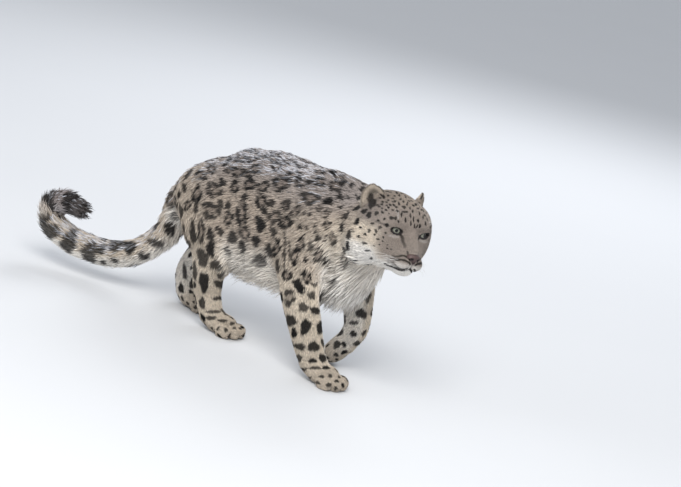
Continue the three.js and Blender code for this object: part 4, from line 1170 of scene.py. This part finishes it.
def shape_head(p, n):
    """Folds of the face: eye sockets, mouth, whisker pads and the groove under the nose."""
    q = to_head(p)
    f = folded(q)
    push = np.zeros(len(p))
    d, _ = near_line(f, MOUTH)
    push -= 3.4 * np.exp(-(d / 1.9) ** 2) - 1.2 * np.exp(-((d - 5) / 2.6) ** 2)
    d, _ = near_line(f, PHILTRUM)
    push -= 2.4 * np.exp(-(d / 1.8) ** 2)
    for z, row in WHISKER_ROWS:
        for x in row:
            d = np.hypot(f[:, 0] - x, f[:, 2] - z)
            push += 0.5 * np.exp(-(d / 2.2) ** 2) * (f[:, 1] > 12)
    p = p + n * push[:, None]
    for side in (1, -1):
        centre, gaze, out, up = eye_frame(side)
        d = p - centre
        u, v, w = d @ out, d @ up, d @ gaze
        share = inside_opening(u, v, 1.0)
        front = w > -4
        hole = ramp(-share, -1.08, -0.9) * front
        p = p - gaze * (hole * np.maximum(w - 1.0, 0))[:, None]
        # a raised rim above and a soft bag below
        rim = np.exp(-((share - 1.55) / 0.28) ** 2) * front * (np.hypot(u, v) < 40)
        p = p + gaze * (rim * np.where(v > 0, 3.6, 1.4))[:, None]
        # a hollow towards the nose
        pit = np.exp(-(np.hypot(u + 19, v + 5) / 7) ** 2) * front
        p = p - gaze * (2.2 * pit)[:, None]
    return p


class SKIN_OT_leopard(bpy.types.Operator):
    """Makes the skin under the hair from the solids of flesh, and colours it with the coat's ground and marks"""
    bl_idname = "leopard.skin"
    bl_label = "Skin"

    def execute(self, context):
        verts, faces, base = [], [], 0
        for name in FLESH:
            if name.startswith("ear"):
                continue
            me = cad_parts[name].data
            me.calc_loop_triangles()
            tri = np.empty(len(me.loop_triangles) * 3, np.int32)
            me.loop_triangles.foreach_get("vertices", tri)
            p = points_of(me)
            verts.append(p)
            faces.append(tri.reshape(-1, 3) + base)
            base += len(p)
        raw = mesh_of("flesh", np.concatenate(verts), np.concatenate(faces))
        grid = raw.modifiers.new("grid", "REMESH")
        grid.mode, grid.voxel_size = "VOXEL", SKIN_CELL
        dg = context.evaluated_depsgraph_get()
        me = bpy.data.meshes.new_from_object(raw.evaluated_get(dg))
        bpy.data.objects.remove(raw)
        # inner hollows go, then the face gets finer cells
        bm = bmesh.new()
        bm.from_mesh(me)
        bm.verts.ensure_lookup_table()
        keep_outer(bm)
        for reach in (0.0, 34.0):
            q = to_head(to_mm([f.calc_center_median() for f in bm.faces]))
            close = (q[:, 0] > 20 + reach) & (np.abs(q[:, 1]) < 76) & (q[:, 2] > -104) & (q[:, 2] < 84 - reach)
            close &= np.linalg.norm(q, axis=1) < 150
            edges = {e for f, c in zip(bm.faces, close) if c for e in f.edges}
            bmesh.ops.subdivide_edges(bm, edges=list(edges), cuts=1, use_grid_fill=True)
        bmesh.ops.triangulate(bm, faces=[f for f in bm.faces if len(f.verts) > 4])
        bm.to_mesh(me)
        bm.free()
        me.polygons.foreach_set("use_smooth", np.ones(len(me.polygons), bool))
        ob = bpy.data.objects.new("skin", me)
        context.scene.collection.objects.link(ob)
        edges = edges_of(me)
        p = relax(points_of(me), edges, 6)
        # the skin is moved onto the forms, at the coat's depth inside them
        for left in (3, 2, 1, 0):
            place_points(me, p)
            if left == 3:
                depth = relax(coat_depth(Place(p, normals_of(me))), edges, 12)
            v, g = slope(body, p)
            step = (v + depth)[:, None] * g / np.maximum((g * g).sum(1, keepdims=True), 0.25)
            step *= np.minimum(1, 12 / np.maximum(np.linalg.norm(step, axis=1, keepdims=True), 1e-6))
            p = p - step
            p = relax(p, edges, 2 if left else 0, 0.35)
        place_points(me, p)
        p = shape_head(p, normals_of(me))
        p[:, 2] = np.maximum(p[:, 2], SKIN_FLOOR)
        place_points(me, p)
        bm = bmesh.new()
        bm.from_mesh(me)
        for side in (1, -1):
            points, quads = ear_shell(side)
            corners = [bm.verts.new(x) for x in to_metres(points)]
            made = [bm.faces.new([corners[i] for i in quad]) for quad in quads]
            bmesh.ops.recalc_face_normals(bm, faces=made)
        bm.to_mesh(me)
        bm.free()
        me.polygons.foreach_set("use_smooth", np.ones(len(me.polygons), bool))
        for o in context.selected_objects:
            o.select_set(False)
        context.view_layer.objects.active = ob
        ob.select_set(True)
        me.uv_layers.new(name="OFBake")
        bpy.ops.object.mode_set(mode="EDIT")
        bpy.ops.mesh.select_all(action="SELECT")
        bpy.ops.uv.smart_project(angle_limit=math.radians(70), island_margin=0.002)
        bpy.ops.object.mode_set(mode="OBJECT")
        STORE["points"], STORE["normals"] = points_of(me), normals_of(me)
        tree = BVHTree.FromObject(ob, context.evaluated_depsgraph_get())
        STORE["marks"] = Marks(STORE["points"], STORE["normals"], tree)
        at = Place(STORE["points"], STORE["normals"])
        paint(ob, marked(ground_colour(at), at, at.p, STORE["marks"]) * 0.85)
        me.materials.clear()
        me.materials.append(fur_material("short undercoat", UNDERCOAT_STRAND, 0.6, 0.05))
        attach(ob, "root")
        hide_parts(*FLESH)
        STORE["skin"] = ob
        return {"FINISHED"}


def keep_outer(bm):
    """Leaves only the largest connected surface."""
    left = set(bm.verts)
    best = []
    while left:
        seed = left.pop()
        group, stack = [seed], [seed]
        while stack:
            v = stack.pop()
            for e in v.link_edges:
                w = e.other_vert(v)
                if w in left:
                    left.discard(w)
                    group.append(w)
                    stack.append(w)
        if len(group) > len(best):
            best = group
    kept = set(best)
    bmesh.ops.delete(bm, geom=[v for v in bm.verts if v not in kept], context="VERTS")


def roots(ob, wanted):
    """Seeded places on the skin: points, normals, and the OFBake place of each."""
    me = ob.data
    me.calc_loop_triangles()
    count = len(me.loop_triangles)
    tri, loops = np.empty(count * 3, np.int32), np.empty(count * 3, np.int32)
    me.loop_triangles.foreach_get("vertices", tri)
    me.loop_triangles.foreach_get("loops", loops)
    tri, loops = tri.reshape(-1, 3), loops.reshape(-1, 3)
    uv = np.empty(len(me.loops) * 2, np.float32)
    me.uv_layers["OFBake"].data.foreach_get("uv", uv)
    uv = uv.reshape(-1, 2)
    p, n = STORE["points"], STORE["normals"]
    a, b, c = p[tri[:, 0]], p[tri[:, 1]], p[tri[:, 2]]
    area = np.linalg.norm(np.cross(b - a, c - a), axis=1) / 2
    centre = (a + b + c) / 3
    flat = unit(np.cross(b - a, c - a))
    at = Place(centre, flat)
    length, width = hair_length(at), hair_width(at)
    head = 1.7 + 2.4 * at.ruff + 2.4 * at.throat
    leg = mix(3.6, 2.2, ramp(at.leg_way, 0.2, 0.8))
    ear = np.where(at.ear_inside > 0.5, 1.0, 2.4)
    layers = np.where(at.ear > 0.5, ear, at.blend_of(4.4, 4.4, 4.4, 4.8, head, leg, 1.5))
    density = layers / (length * width * 0.6)
    density[at.p[:, 2] < 3] = 0
    density *= bare(at.p)
    expected = density * area
    expected *= wanted / expected.sum()
    cuts = np.floor(np.cumsum(expected) + RNG.random()).astype(int)
    per = np.diff(np.concatenate([[0], cuts]))
    pick = np.repeat(np.arange(count), per)
    r1, r2 = np.sqrt(RNG.random(len(pick))), RNG.random(len(pick))
    w = np.column_stack([1 - r1, r1 * (1 - r2), r1 * r2])
    point = (p[tri[pick]] * w[:, :, None]).sum(1)
    normal = unit((n[tri[pick]] * w[:, :, None]).sum(1))
    return point, normal, (uv[loops[pick]] * w[:, :, None]).sum(1)


def bare(p):
    """0 where no hair grows: in the eye openings and on the nose and lips."""
    keep = np.ones(len(p))
    for side in (1, -1):
        centre, gaze, out, up = eye_frame(side)
        d = p - centre
        hit = (inside_opening(d @ out, d @ up, 4.6) < 1) & (d @ gaze > -8) & (np.linalg.norm(d, axis=1) < 40)
        keep[hit] = 0
    q = to_head(p)
    keep[ellipsoid(q, NOSE_AT, (14, 19, 14)) < 0] = 0
    d, _ = near_line(folded(q), MOUTH)
    keep[d < 2.4] = 0
    return keep


# Tufts: where their rings stand along the hair, and how wide each is
LONG_TUFT = ((-0.06, 0.75), (0.3, 1.0), (0.68, 0.7), (1.0, 0.0))
SHORT_TUFT = ((-0.08, 0.8), (0.5, 0.9), (1.0, 0.0))


def tuft_mesh(stations, p, n, lie, length, width, lift, hang, uv, colour_at):
    """Three-sided tapered locks. Returns points, triangles of one lock, colours and map places, by lock."""
    across = np.cross(n, lie)
    rings, tints, uvs = [], [], []
    for t, w in stations:
        rise = lift * (t - 0.45 * t * t) if t > 0 else lift * t
        middle = p + lie * (length * t)[:, None] + n * (length * rise)[:, None]
        middle[:, 2] -= hang * length * max(t, 0) ** 1.6
        tint = colour_at(max(t, 0.0))
        if w == 0:
            rings.append(middle[:, None])
            tints.append(tint[:, None])
            uvs.append(uv[:, None] + np.array([0, 0.0015]))
            continue
        half = (width * w / 2)[:, None]
        rings.append(np.stack([middle + across * half, middle + n * half * 0.8, middle - across * half], 1))
        tints.append(np.repeat(tint[:, None], 3, 1))
        uvs.append(uv[:, None] + np.array([[-0.0015, 0], [0, 0], [0.0015, 0]]) + (0, 0.003 * max(t, 0) - 0.0015))
    points, tints, uvs = (np.concatenate(x, 1) for x in (rings, tints, uvs))
    points[:, :, 2] = np.maximum(points[:, :, 2], TUFT_FLOOR)
    faces = []
    last = len(stations) - 1
    for k in range(last - 1):
        for a, b in ((0, 1), (1, 2), (2, 0)):
            faces += [(3 * k + a, 3 * k + b, 3 * k + 3 + b), (3 * k + a, 3 * k + 3 + b, 3 * k + 3 + a)]
    faces += [(3 * last - 3 + a, 3 * last - 3 + b, 3 * last) for a, b in ((0, 1), (1, 2), (2, 0))]
    return points, np.array(faces), tints, uvs


class COAT_OT_leopard(bpy.types.Operator):
    """Lays the tufts over the skin, in pieces for each part of the body"""
    bl_idname = "leopard.coat"
    bl_label = "Coat"

    def execute(self, context):
        look = context.scene.leopard_coat
        wanted = look.tufts // 1
        p, n, uv = roots(STORE["skin"], wanted)
        at = Place(p, n)
        count = len(p)
        length = hair_length(at) * RNG.uniform(0.72, 1.18, count)
        width = hair_width(at) * RNG.uniform(0.75, 1.25, count)
        sway = RNG.normal(0, 0.2, count)
        lie = unit(at.lie + np.cross(n, at.lie) * sway[:, None])
        lift = np.clip(0.34 + RNG.normal(0, 0.07, count), 0.12, 0.6)
        hang = at.blend_of(0.10 + 0.25 * at.below, 0.12, 0.34, 0.02, 0.1 * at.throat, 0.05, 0)
        ground = ground_colour(at)
        shade = np.where(length < 17, RNG.uniform(0.72, 1.2, count), RNG.uniform(0.82, 1.16, count))[:, None]
        frost = (RNG.random(count) < frosting(at)) * RNG.uniform(0.4, 1.0, count)
        frosted = np.array(look.frost)
        smooth = 0.28 * ramp(length, 8, 20)
        stray = RNG.normal(0, 1, (count, 3)) * (0.45 + 0.9 * ramp(length, 5, 30))[:, None]

        def colour_at(t):
            where = p + lie * (length * (smooth + (1 - 1.6 * smooth) * t))[:, None] + stray
            tint = marked(ground, at, where, STORE["marks"]) * shade
            pale = tint.mean(1)
            tip = mix(tint * 1.1, frosted, frost * (0.35 + 0.65 * ramp(pale, 0.02, 0.15)))
            return mix(tint * 0.78, tip, np.full(count, min(1.0, t * 1.3)))

        kinds = (length > LONG_HAIR).astype(int)
        fur = fur_material("guard hair", GUARD_STRAND, 0.5, 0.06)
        region = np.argmax(np.column_stack([at.trunk + at.chest, at.neck, at.tail, at.head, at.legs, at.paws]), axis=1)
        names = ["trunk", "neck", "tail", "head", "leg", "paw"]
        for kind, stations in enumerate((SHORT_TUFT, LONG_TUFT)):
            points, faces, tints, uvs = tuft_mesh(stations, p, n, lie, length, width, lift, hang, uv, colour_at)
            for r, label in enumerate(names):
                own = np.flatnonzero((region == r) & (kinds == kind))
                own = own[np.lexsort((p[own, 1], np.round(p[own, 0] / 60)))]
                parts = max(1, math.ceil(len(own) * len(faces) / PIECE_TRIANGLES))
                for k, part in enumerate(np.array_split(own, parts)):
                    if len(part) < 4:
                        continue
                    base = np.arange(len(part))[:, None, None] * points.shape[1]
                    name = f"coat_{label}_{'long' if kind else 'short'}_{k + 1}"
                    ob = mesh_of(name, points[part].reshape(-1, 3), (faces[None] + base).reshape(-1, 3))
                    paint(ob, tints[part].reshape(-1, 3))
                    layer = ob.data.uv_layers.new(name="OFBake")
                    index = np.empty(len(ob.data.loops), np.int32)
                    ob.data.loops.foreach_get("vertex_index", index)
                    flat = np.clip(uvs[part].reshape(-1, 2)[index], 0.0005, 0.9995)
                    layer.data.foreach_set("uv", flat.astype(np.float32).ravel())
                    ob.data.materials.append(fur)
                    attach(ob, "root")
        return {"FINISHED"}


def frosting(at):
    """Pale tips along the back, the crown and the top of the tail."""
    patch = 0.5 + 0.5 * np.sin(at.p[:, 0] * 0.021 + 2 * np.sin(at.p[:, 1] * 0.04)) * np.sin(at.p[:, 0] * 0.011 + 1)
    top = ramp(at.n[:, 2], 0.45, 0.85) * ramp(-at.p[:, 0], 70, 190)
    tail = ramp(at.n[:, 2], -0.1, 0.6) * (1 - 0.6 * ramp(at.tail_way, 0.7, 0.85))
    return top * (at.trunk * (0.4 + 0.4 * patch) + at.neck * 0.25 * patch) + at.tail * tail * 0.62


def ball(rows, columns, pole):
    """A round mesh of radius one with its pole along the given direction: points, and quads and caps."""
    pole = unit(np.asarray(pole, float))
    a = unit(np.cross(pole, [0.1, 0.2, 1.0]))
    b = np.cross(pole, a)
    theta = np.linspace(0, math.pi, rows + 1)[1:-1]
    phi = np.arange(columns) / columns * math.tau
    rings = (np.cos(theta)[:, None, None] * pole
             + np.sin(theta)[:, None, None] * (np.cos(phi)[None, :, None] * a + np.sin(phi)[None, :, None] * b))
    ways = np.concatenate([rings.reshape(-1, 3), [pole], [-pole]])
    quads = []
    for r in range(rows - 2):
        c = np.arange(columns)
        d = (c + 1) % columns
        quads.append(np.column_stack([r * columns + c, (r + 1) * columns + c, (r + 1) * columns + d, r * columns + d]))
    c = np.arange(columns)
    d = (c + 1) % columns
    top, bottom = len(ways) - 2, len(ways) - 1
    last = (rows - 2) * columns
    caps = np.concatenate([np.column_stack([np.full(columns, top), c, d]),
                           np.column_stack([np.full(columns, bottom), last + d, last + c])])
    return ways, [np.concatenate(quads), caps]


# Rings of a lid, from the opening outwards: how far outside it and how far raised, in mm
LID_RINGS = ((0.0, 0.1), (0.5, 1.7), (2.0, 2.6), (3.8, 2.2), (5.4, 0.6), (6.4, -1.6))
LID_STEPS = 64


class EYES_OT_leopard(bpy.types.Operator):
    """Makes both eyeballs and the lids round them"""
    bl_idname = "leopard.eyes"
    bl_label = "Eyes and lids"

    def execute(self, context):
        look = context.scene.leopard_face
        skin = STORE["skin"]
        dg = context.evaluated_depsgraph_get()
        tree = BVHTree.FromObject(skin, dg)
        for side, label in ((1, "left"), (-1, "right")):
            centre, gaze, out, up = eye_frame(side)
            ways, faces = ball(48, 48, gaze)
            off = np.degrees(np.arccos(np.clip(ways @ gaze, -1, 1)))
            bulge = 0.5 * ramp(-off, -38, -20)
            ob = mesh_of(f"eyeball_{label}", centre + ways * (EYE_RADIUS - 0.6 + bulge)[:, None], faces)
            iris, rim = np.array(look.iris), np.array(look.iris_rim)
            colour = mix(np.array(look.eye_edge), rim, ramp(-off, -46, -43))
            colour = mix(colour, iris, ramp(-off, -42, -36))
            colour = mix(colour, iris * 0.7, ramp(-off, -20, -14))
            colour = mix(colour, np.array(look.pupil), ramp(-off, -17.5, -15.5))
            paint(ob, colour)
            ob.data.materials.append(eye_material())
            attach(ob, "root")
            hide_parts(f"eye_{label}")
            # lids: from the eyeball out to the skin
            angle = np.arange(LID_STEPS) / LID_STEPS * math.tau
            rings = []
            for grow, lift in LID_RINGS:
                u, v = opening(angle, grow)
                flat = centre + np.outer(u, out) + np.outer(v, up)
                deep = np.sqrt(np.maximum(EYE_RADIUS ** 2 - np.minimum(u * u + v * v, EYE_RADIUS ** 2 * 0.97), 0))
                on_ball = flat + np.outer(deep, gaze)
                on_skin = []
                for x in flat:
                    hit = cast(tree, x + gaze * 60, -gaze)
                    on_skin.append(x if hit is None else hit)
                share = min(1.0, grow / 5.0)
                on_skin = np.array(on_skin)
                base_w = (on_ball - centre) @ gaze
                skin_w = (on_skin - centre) @ gaze
                w = base_w * (1 - share) + np.maximum(skin_w, 2) * share + lift
                rings.append(flat + np.outer(w, gaze))
            rings = np.array(rings)
            k, m = rings.shape[:2]
            c = np.arange(m)
            d = (c + 1) % m
            quads = [np.column_stack([r * m + c, r * m + d, (r + 1) * m + d, (r + 1) * m + c]) for r in range(k - 1)]
            lid = mesh_of(f"lids_{label}", rings.reshape(-1, 3), np.concatenate(quads))
            fix_normals(lid)
            paint(lid, np.tile(np.array(look.lid), (k * m, 1)))
            lid.data.materials.append(leather_material())
            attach(lid, "root")
        return {"FINISHED"}


def fix_normals(ob):
    """Turns a mesh's faces to look outwards."""
    bm = bmesh.new()
    bm.from_mesh(ob.data)
    bmesh.ops.recalc_face_normals(bm, faces=bm.faces)
    bm.to_mesh(ob.data)
    bm.free()


# The nostril's hole and the slit beside it, in the head's own axes: middle and half sizes
NOSTRIL, SLIT = ((119, 8.8, -37.5), (7, 3.4, 3.2)), ((114, 14.5, -39.5), (7, 5.0, 1.7))
NOSE_REACH, NOSE_STEPS = 26, 120


class NOSE_OT_leopard(bpy.types.Operator):
    """Makes the bare pad of the nose with its nostrils and groove"""
    bl_idname = "leopard.nose"
    bl_label = "Nose"

    def execute(self, context):
        look = context.scene.leopard_face
        ways, faces = ball(72, 96, (1, 0, 0.2))

        def pad(q):
            f = folded(q)
            d = ellipsoid(q, (108, 0, -33), (13, 15.5, 10.5))
            d = fillet(d, ellipsoid(f, (107, 11, -36), (11, 7.5, 7.5)), 6)
            d = fillet(d, ellipsoid(q, (110, 0, -43), (9, 5.5, 8)), 6)
            groove = np.hypot(f[:, 1] / 1.1, np.minimum(120 - q[:, 0], 0)) - 1.0 + ramp(q[:, 2], -42, -36) * 3
            d = -fillet(-d, ellipsoid(f, *NOSTRIL), 2.0)
            d = -fillet(-d, ellipsoid(f, *SLIT), 1.5)
            return -fillet(-d, np.where(q[:, 0] > 113, groove, 9.0), 1.5)

        middle = np.array([106.0, 0, -36])
        last = np.zeros(len(ways))
        for s in np.linspace(0, NOSE_REACH, NOSE_STEPS):
            d = pad(middle + ways * s)
            last = np.where((d < 0) & (last >= s - 0.3), s, last)
        q = middle + ways * np.maximum(last, 2)[:, None]
        ob = mesh_of("nose_pad", from_head(q), faces)
        fix_normals(ob)
        pink, dark = np.array(look.nose), np.array(look.nostril)
        f = folded(q)
        holes = np.minimum(ellipsoid(f, NOSTRIL[0], (8, 4.6, 4.4)), ellipsoid(f, SLIT[0], (8, 6.4, 3.0)))
        colour = mix(pink, dark, ramp(-holes, -0.6, 0.8))
        colour = mix(colour, dark, ramp(-f[:, 2], 40, 46) * 0.6)
        colour = mix(colour, pink * 0.55, ramp(f[:, 2], -29, -24))
        paint(ob, colour)
        ob.data.materials.append(leather_material())
        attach(ob, "root")
        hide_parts("nose")
        return {"FINISHED"}


def threads(name, lines, radius):
    """Tapered three-sided threads along lines of points, all with the same number of points."""
    lines = np.asarray(lines, float)
    count, steps = lines.shape[:2]
    along = unit(np.gradient(lines, axis=1))
    side = unit(np.cross(along, np.array([0.13, 0.21, 0.97])))
    other = np.cross(along, side)
    taper = radius * (1 - np.linspace(0, 1, steps) ** 1.3 * 0.9)
    rings = []
    for k in range(3):
        a = k / 3 * math.tau
        rings.append(lines + (side * math.cos(a) + other * math.sin(a)) * taper[None, :, None])
    points = np.stack(rings, 2).reshape(-1, 3)
    quads = []
    base = np.arange(count)[:, None] * steps * 3 + np.arange(steps - 1)[None] * 3
    for a, b in ((0, 1), (1, 2), (2, 0)):
        quads.append(np.stack([base + a, base + b, base + b + 3, base + a + 3], -1).reshape(-1, 4))
    tips = np.arange(count) * steps * 3 + (steps - 1) * 3
    feet = np.arange(count) * steps * 3
    caps = np.concatenate([np.column_stack([tips, tips + 1, tips + 2]),
                           np.column_stack([feet, feet + 2, feet + 1])])
    return mesh_of(name, points, [np.concatenate(quads), caps])


WHISKER_LENGTHS, BROW_LENGTHS = (46, 80), (26, 40)  # shortest and longest
WHISKER_RADIUS = 0.42


class WHISKERS_OT_leopard(bpy.types.Operator):
    """Makes the whiskers of the lip and the long hairs over the eyes"""
    bl_idname = "leopard.whiskers"
    bl_label = "Whiskers"

    def execute(self, context):
        dg = context.evaluated_depsgraph_get()
        tree = BVHTree.FromObject(STORE["skin"], dg)
        rng = np.random.default_rng(WHISKER_SEED)
        lines = []
        t = np.linspace(0, 1, 9)[:, None]
        for side in (1, -1):
            for z, row in WHISKER_ROWS:
                for k, x in enumerate(row):
                    start = from_head([(x, 60 * side, z)])[0]
                    root = cast(tree, start, HEAD_TURN[:, 1] * -side)
                    if root is None:
                        continue
                    long = rng.uniform(*WHISKER_LENGTHS) * (0.6 + 0.1 * k)
                    rise = -0.12 + rng.normal(0, 0.07) + (z + 52) * 0.012
                    way = unit(np.array([-0.2 - 0.14 * k, side, rise])) @ HEAD_TURN.T
                    droop = np.array([-0.25, 0, -0.5]) @ HEAD_TURN.T
                    lines.append(root - way * 1.5 + way * long * t + droop * long * 0.55 * t ** 2)
            for k in range(3):
                q = np.array([60 + 3 * k, (40 + 3 * k) * side, 38 + rng.normal(0, 1)])
                root = from_head([q])[0]
                root = to_mm(tree.find_nearest(Vector(to_metres(root)))[0])
                way = unit(np.array([0.25, side * (0.3 + 0.15 * k), 1.0])) @ HEAD_TURN.T
                back = np.array([-0.7, 0, 0.0]) @ HEAD_TURN.T
                long = rng.uniform(*BROW_LENGTHS)
                lines.append(root - way * 1.0 + way * long * t + back * long * 0.5 * t ** 2)
        ob = threads("whiskers", lines, WHISKER_RADIUS)
        ob.data.materials.append(whisker_material())
        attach(ob, "root")
        return {"FINISHED"}


FLOOR_HALF = 90.0
SKY_COLOUR = (0.86, 0.9, 0.96, 1)
# Each light: its place and size in metres, its share of the key light's power and its linear colour
LIGHTS = (
    ("key", (2.4, -3.6, 4.6), 3.4, 1, (1.0, 0.985, 0.96)),
    ("fill", (-4.2, -4.0, 2.2), 3.0, 0.22, (0.93, 0.96, 1.0)),
    ("back", (-1.5, 4.5, 3.6), 3.0, 0.4, (0.95, 0.97, 1.0)),
)


class STAGE_OT_leopard(bpy.types.Operator):
    """Sets the floor, the lights and the photo's camera"""
    bl_idname = "leopard.stage"
    bl_label = "Stage, lights and camera"

    def execute(self, context):
        look = context.scene.leopard_stage
        scene = context.scene
        me = bpy.data.meshes.new("floor")
        r = FLOOR_HALF
        me.from_pydata([(-r, -r, 0), (r, -r, 0), (r, r, 0), (-r, r, 0)], [], [(0, 1, 2, 3)])
        floor = bpy.data.objects.new("floor", me)
        scene.collection.objects.link(floor)
        me.materials.append(floor_material())
        world = bpy.data.worlds.new("studio")
        scene.world = world
        world.use_nodes = True
        shade = world.node_tree.nodes["Background"]
        shade.inputs["Color"].default_value = SKY_COLOUR
        shade.inputs["Strength"].default_value = look.sky
        for name, at, size, share, tint in LIGHTS:
            light = bpy.data.lights.new(name, "AREA")
            light.size, light.energy, light.color = size, look.key * share, tint
            ob = bpy.data.objects.new(name, light)
            ob.location = at
            ob.rotation_mode = "QUATERNION"
            ob.rotation_quaternion = (Vector((-0.1, 0, 0.3)) - Vector(at)).to_track_quat("-Z", "Y")
            scene.collection.objects.link(ob)
        lens = bpy.data.cameras.new("camera")
        camera = bpy.data.objects.new("camera", lens)
        scene.collection.objects.link(camera)
        scene.camera = camera
        lens.lens, lens.sensor_width = look.lens, 36
        lens.clip_start, lens.clip_end = 0.1, 300
        eye, right, up, back = camera_axes()
        axes = Matrix(np.array([right, up, back]).T.tolist()).to_4x4()
        camera.matrix_world = Matrix.Translation(Vector(to_metres(eye))) @ axes
        scene.view_settings.view_transform = "Standard"
        return {"FINISHED"}


class LEOPARD_PT_panel(bpy.types.Panel):
    """Lists the settings and the steps"""
    bl_label = "Snow leopard"
    bl_idname = "LEOPARD_PT_panel"
    bl_space_type = "VIEW_3D"
    bl_region_type = "UI"
    bl_category = "Leopard"

    def draw(self, context):
        for group in ("leopard_coat", "leopard_face", "leopard_stage"):
            box = self.layout.box()
            settings = getattr(context.scene, group)
            for name in settings.__annotations__:
                box.prop(settings, name)
        for op in OPERATORS:
            self.layout.operator(op.bl_idname)


GROUPS = {"leopard_coat": LeopardCoat, "leopard_face": LeopardFace, "leopard_stage": LeopardStage}
OPERATORS = [STAGE_OT_leopard, SKIN_OT_leopard, EYES_OT_leopard, NOSE_OT_leopard, WHISKERS_OT_leopard,
             COAT_OT_leopard]


def register():
    for name, group in GROUPS.items():
        bpy.utils.register_class(group)
        setattr(bpy.types.Scene, name, bpy.props.PointerProperty(type=group))
    for op in OPERATORS:
        bpy.utils.register_class(op)
    bpy.utils.register_class(LEOPARD_PT_panel)


def unregister():
    bpy.utils.unregister_class(LEOPARD_PT_panel)
    for op in reversed(OPERATORS):
        bpy.utils.unregister_class(op)
    for name, group in GROUPS.items():
        delattr(bpy.types.Scene, name)
        bpy.utils.unregister_class(group)


def main():
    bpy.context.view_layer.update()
    register()
    bpy.ops.leopard.stage()
    bpy.ops.leopard.skin()
    bpy.ops.leopard.eyes()
    bpy.ops.leopard.nose()
    bpy.ops.leopard.whiskers()
    bpy.ops.leopard.coat()


if __name__ == "__main__":
    main()
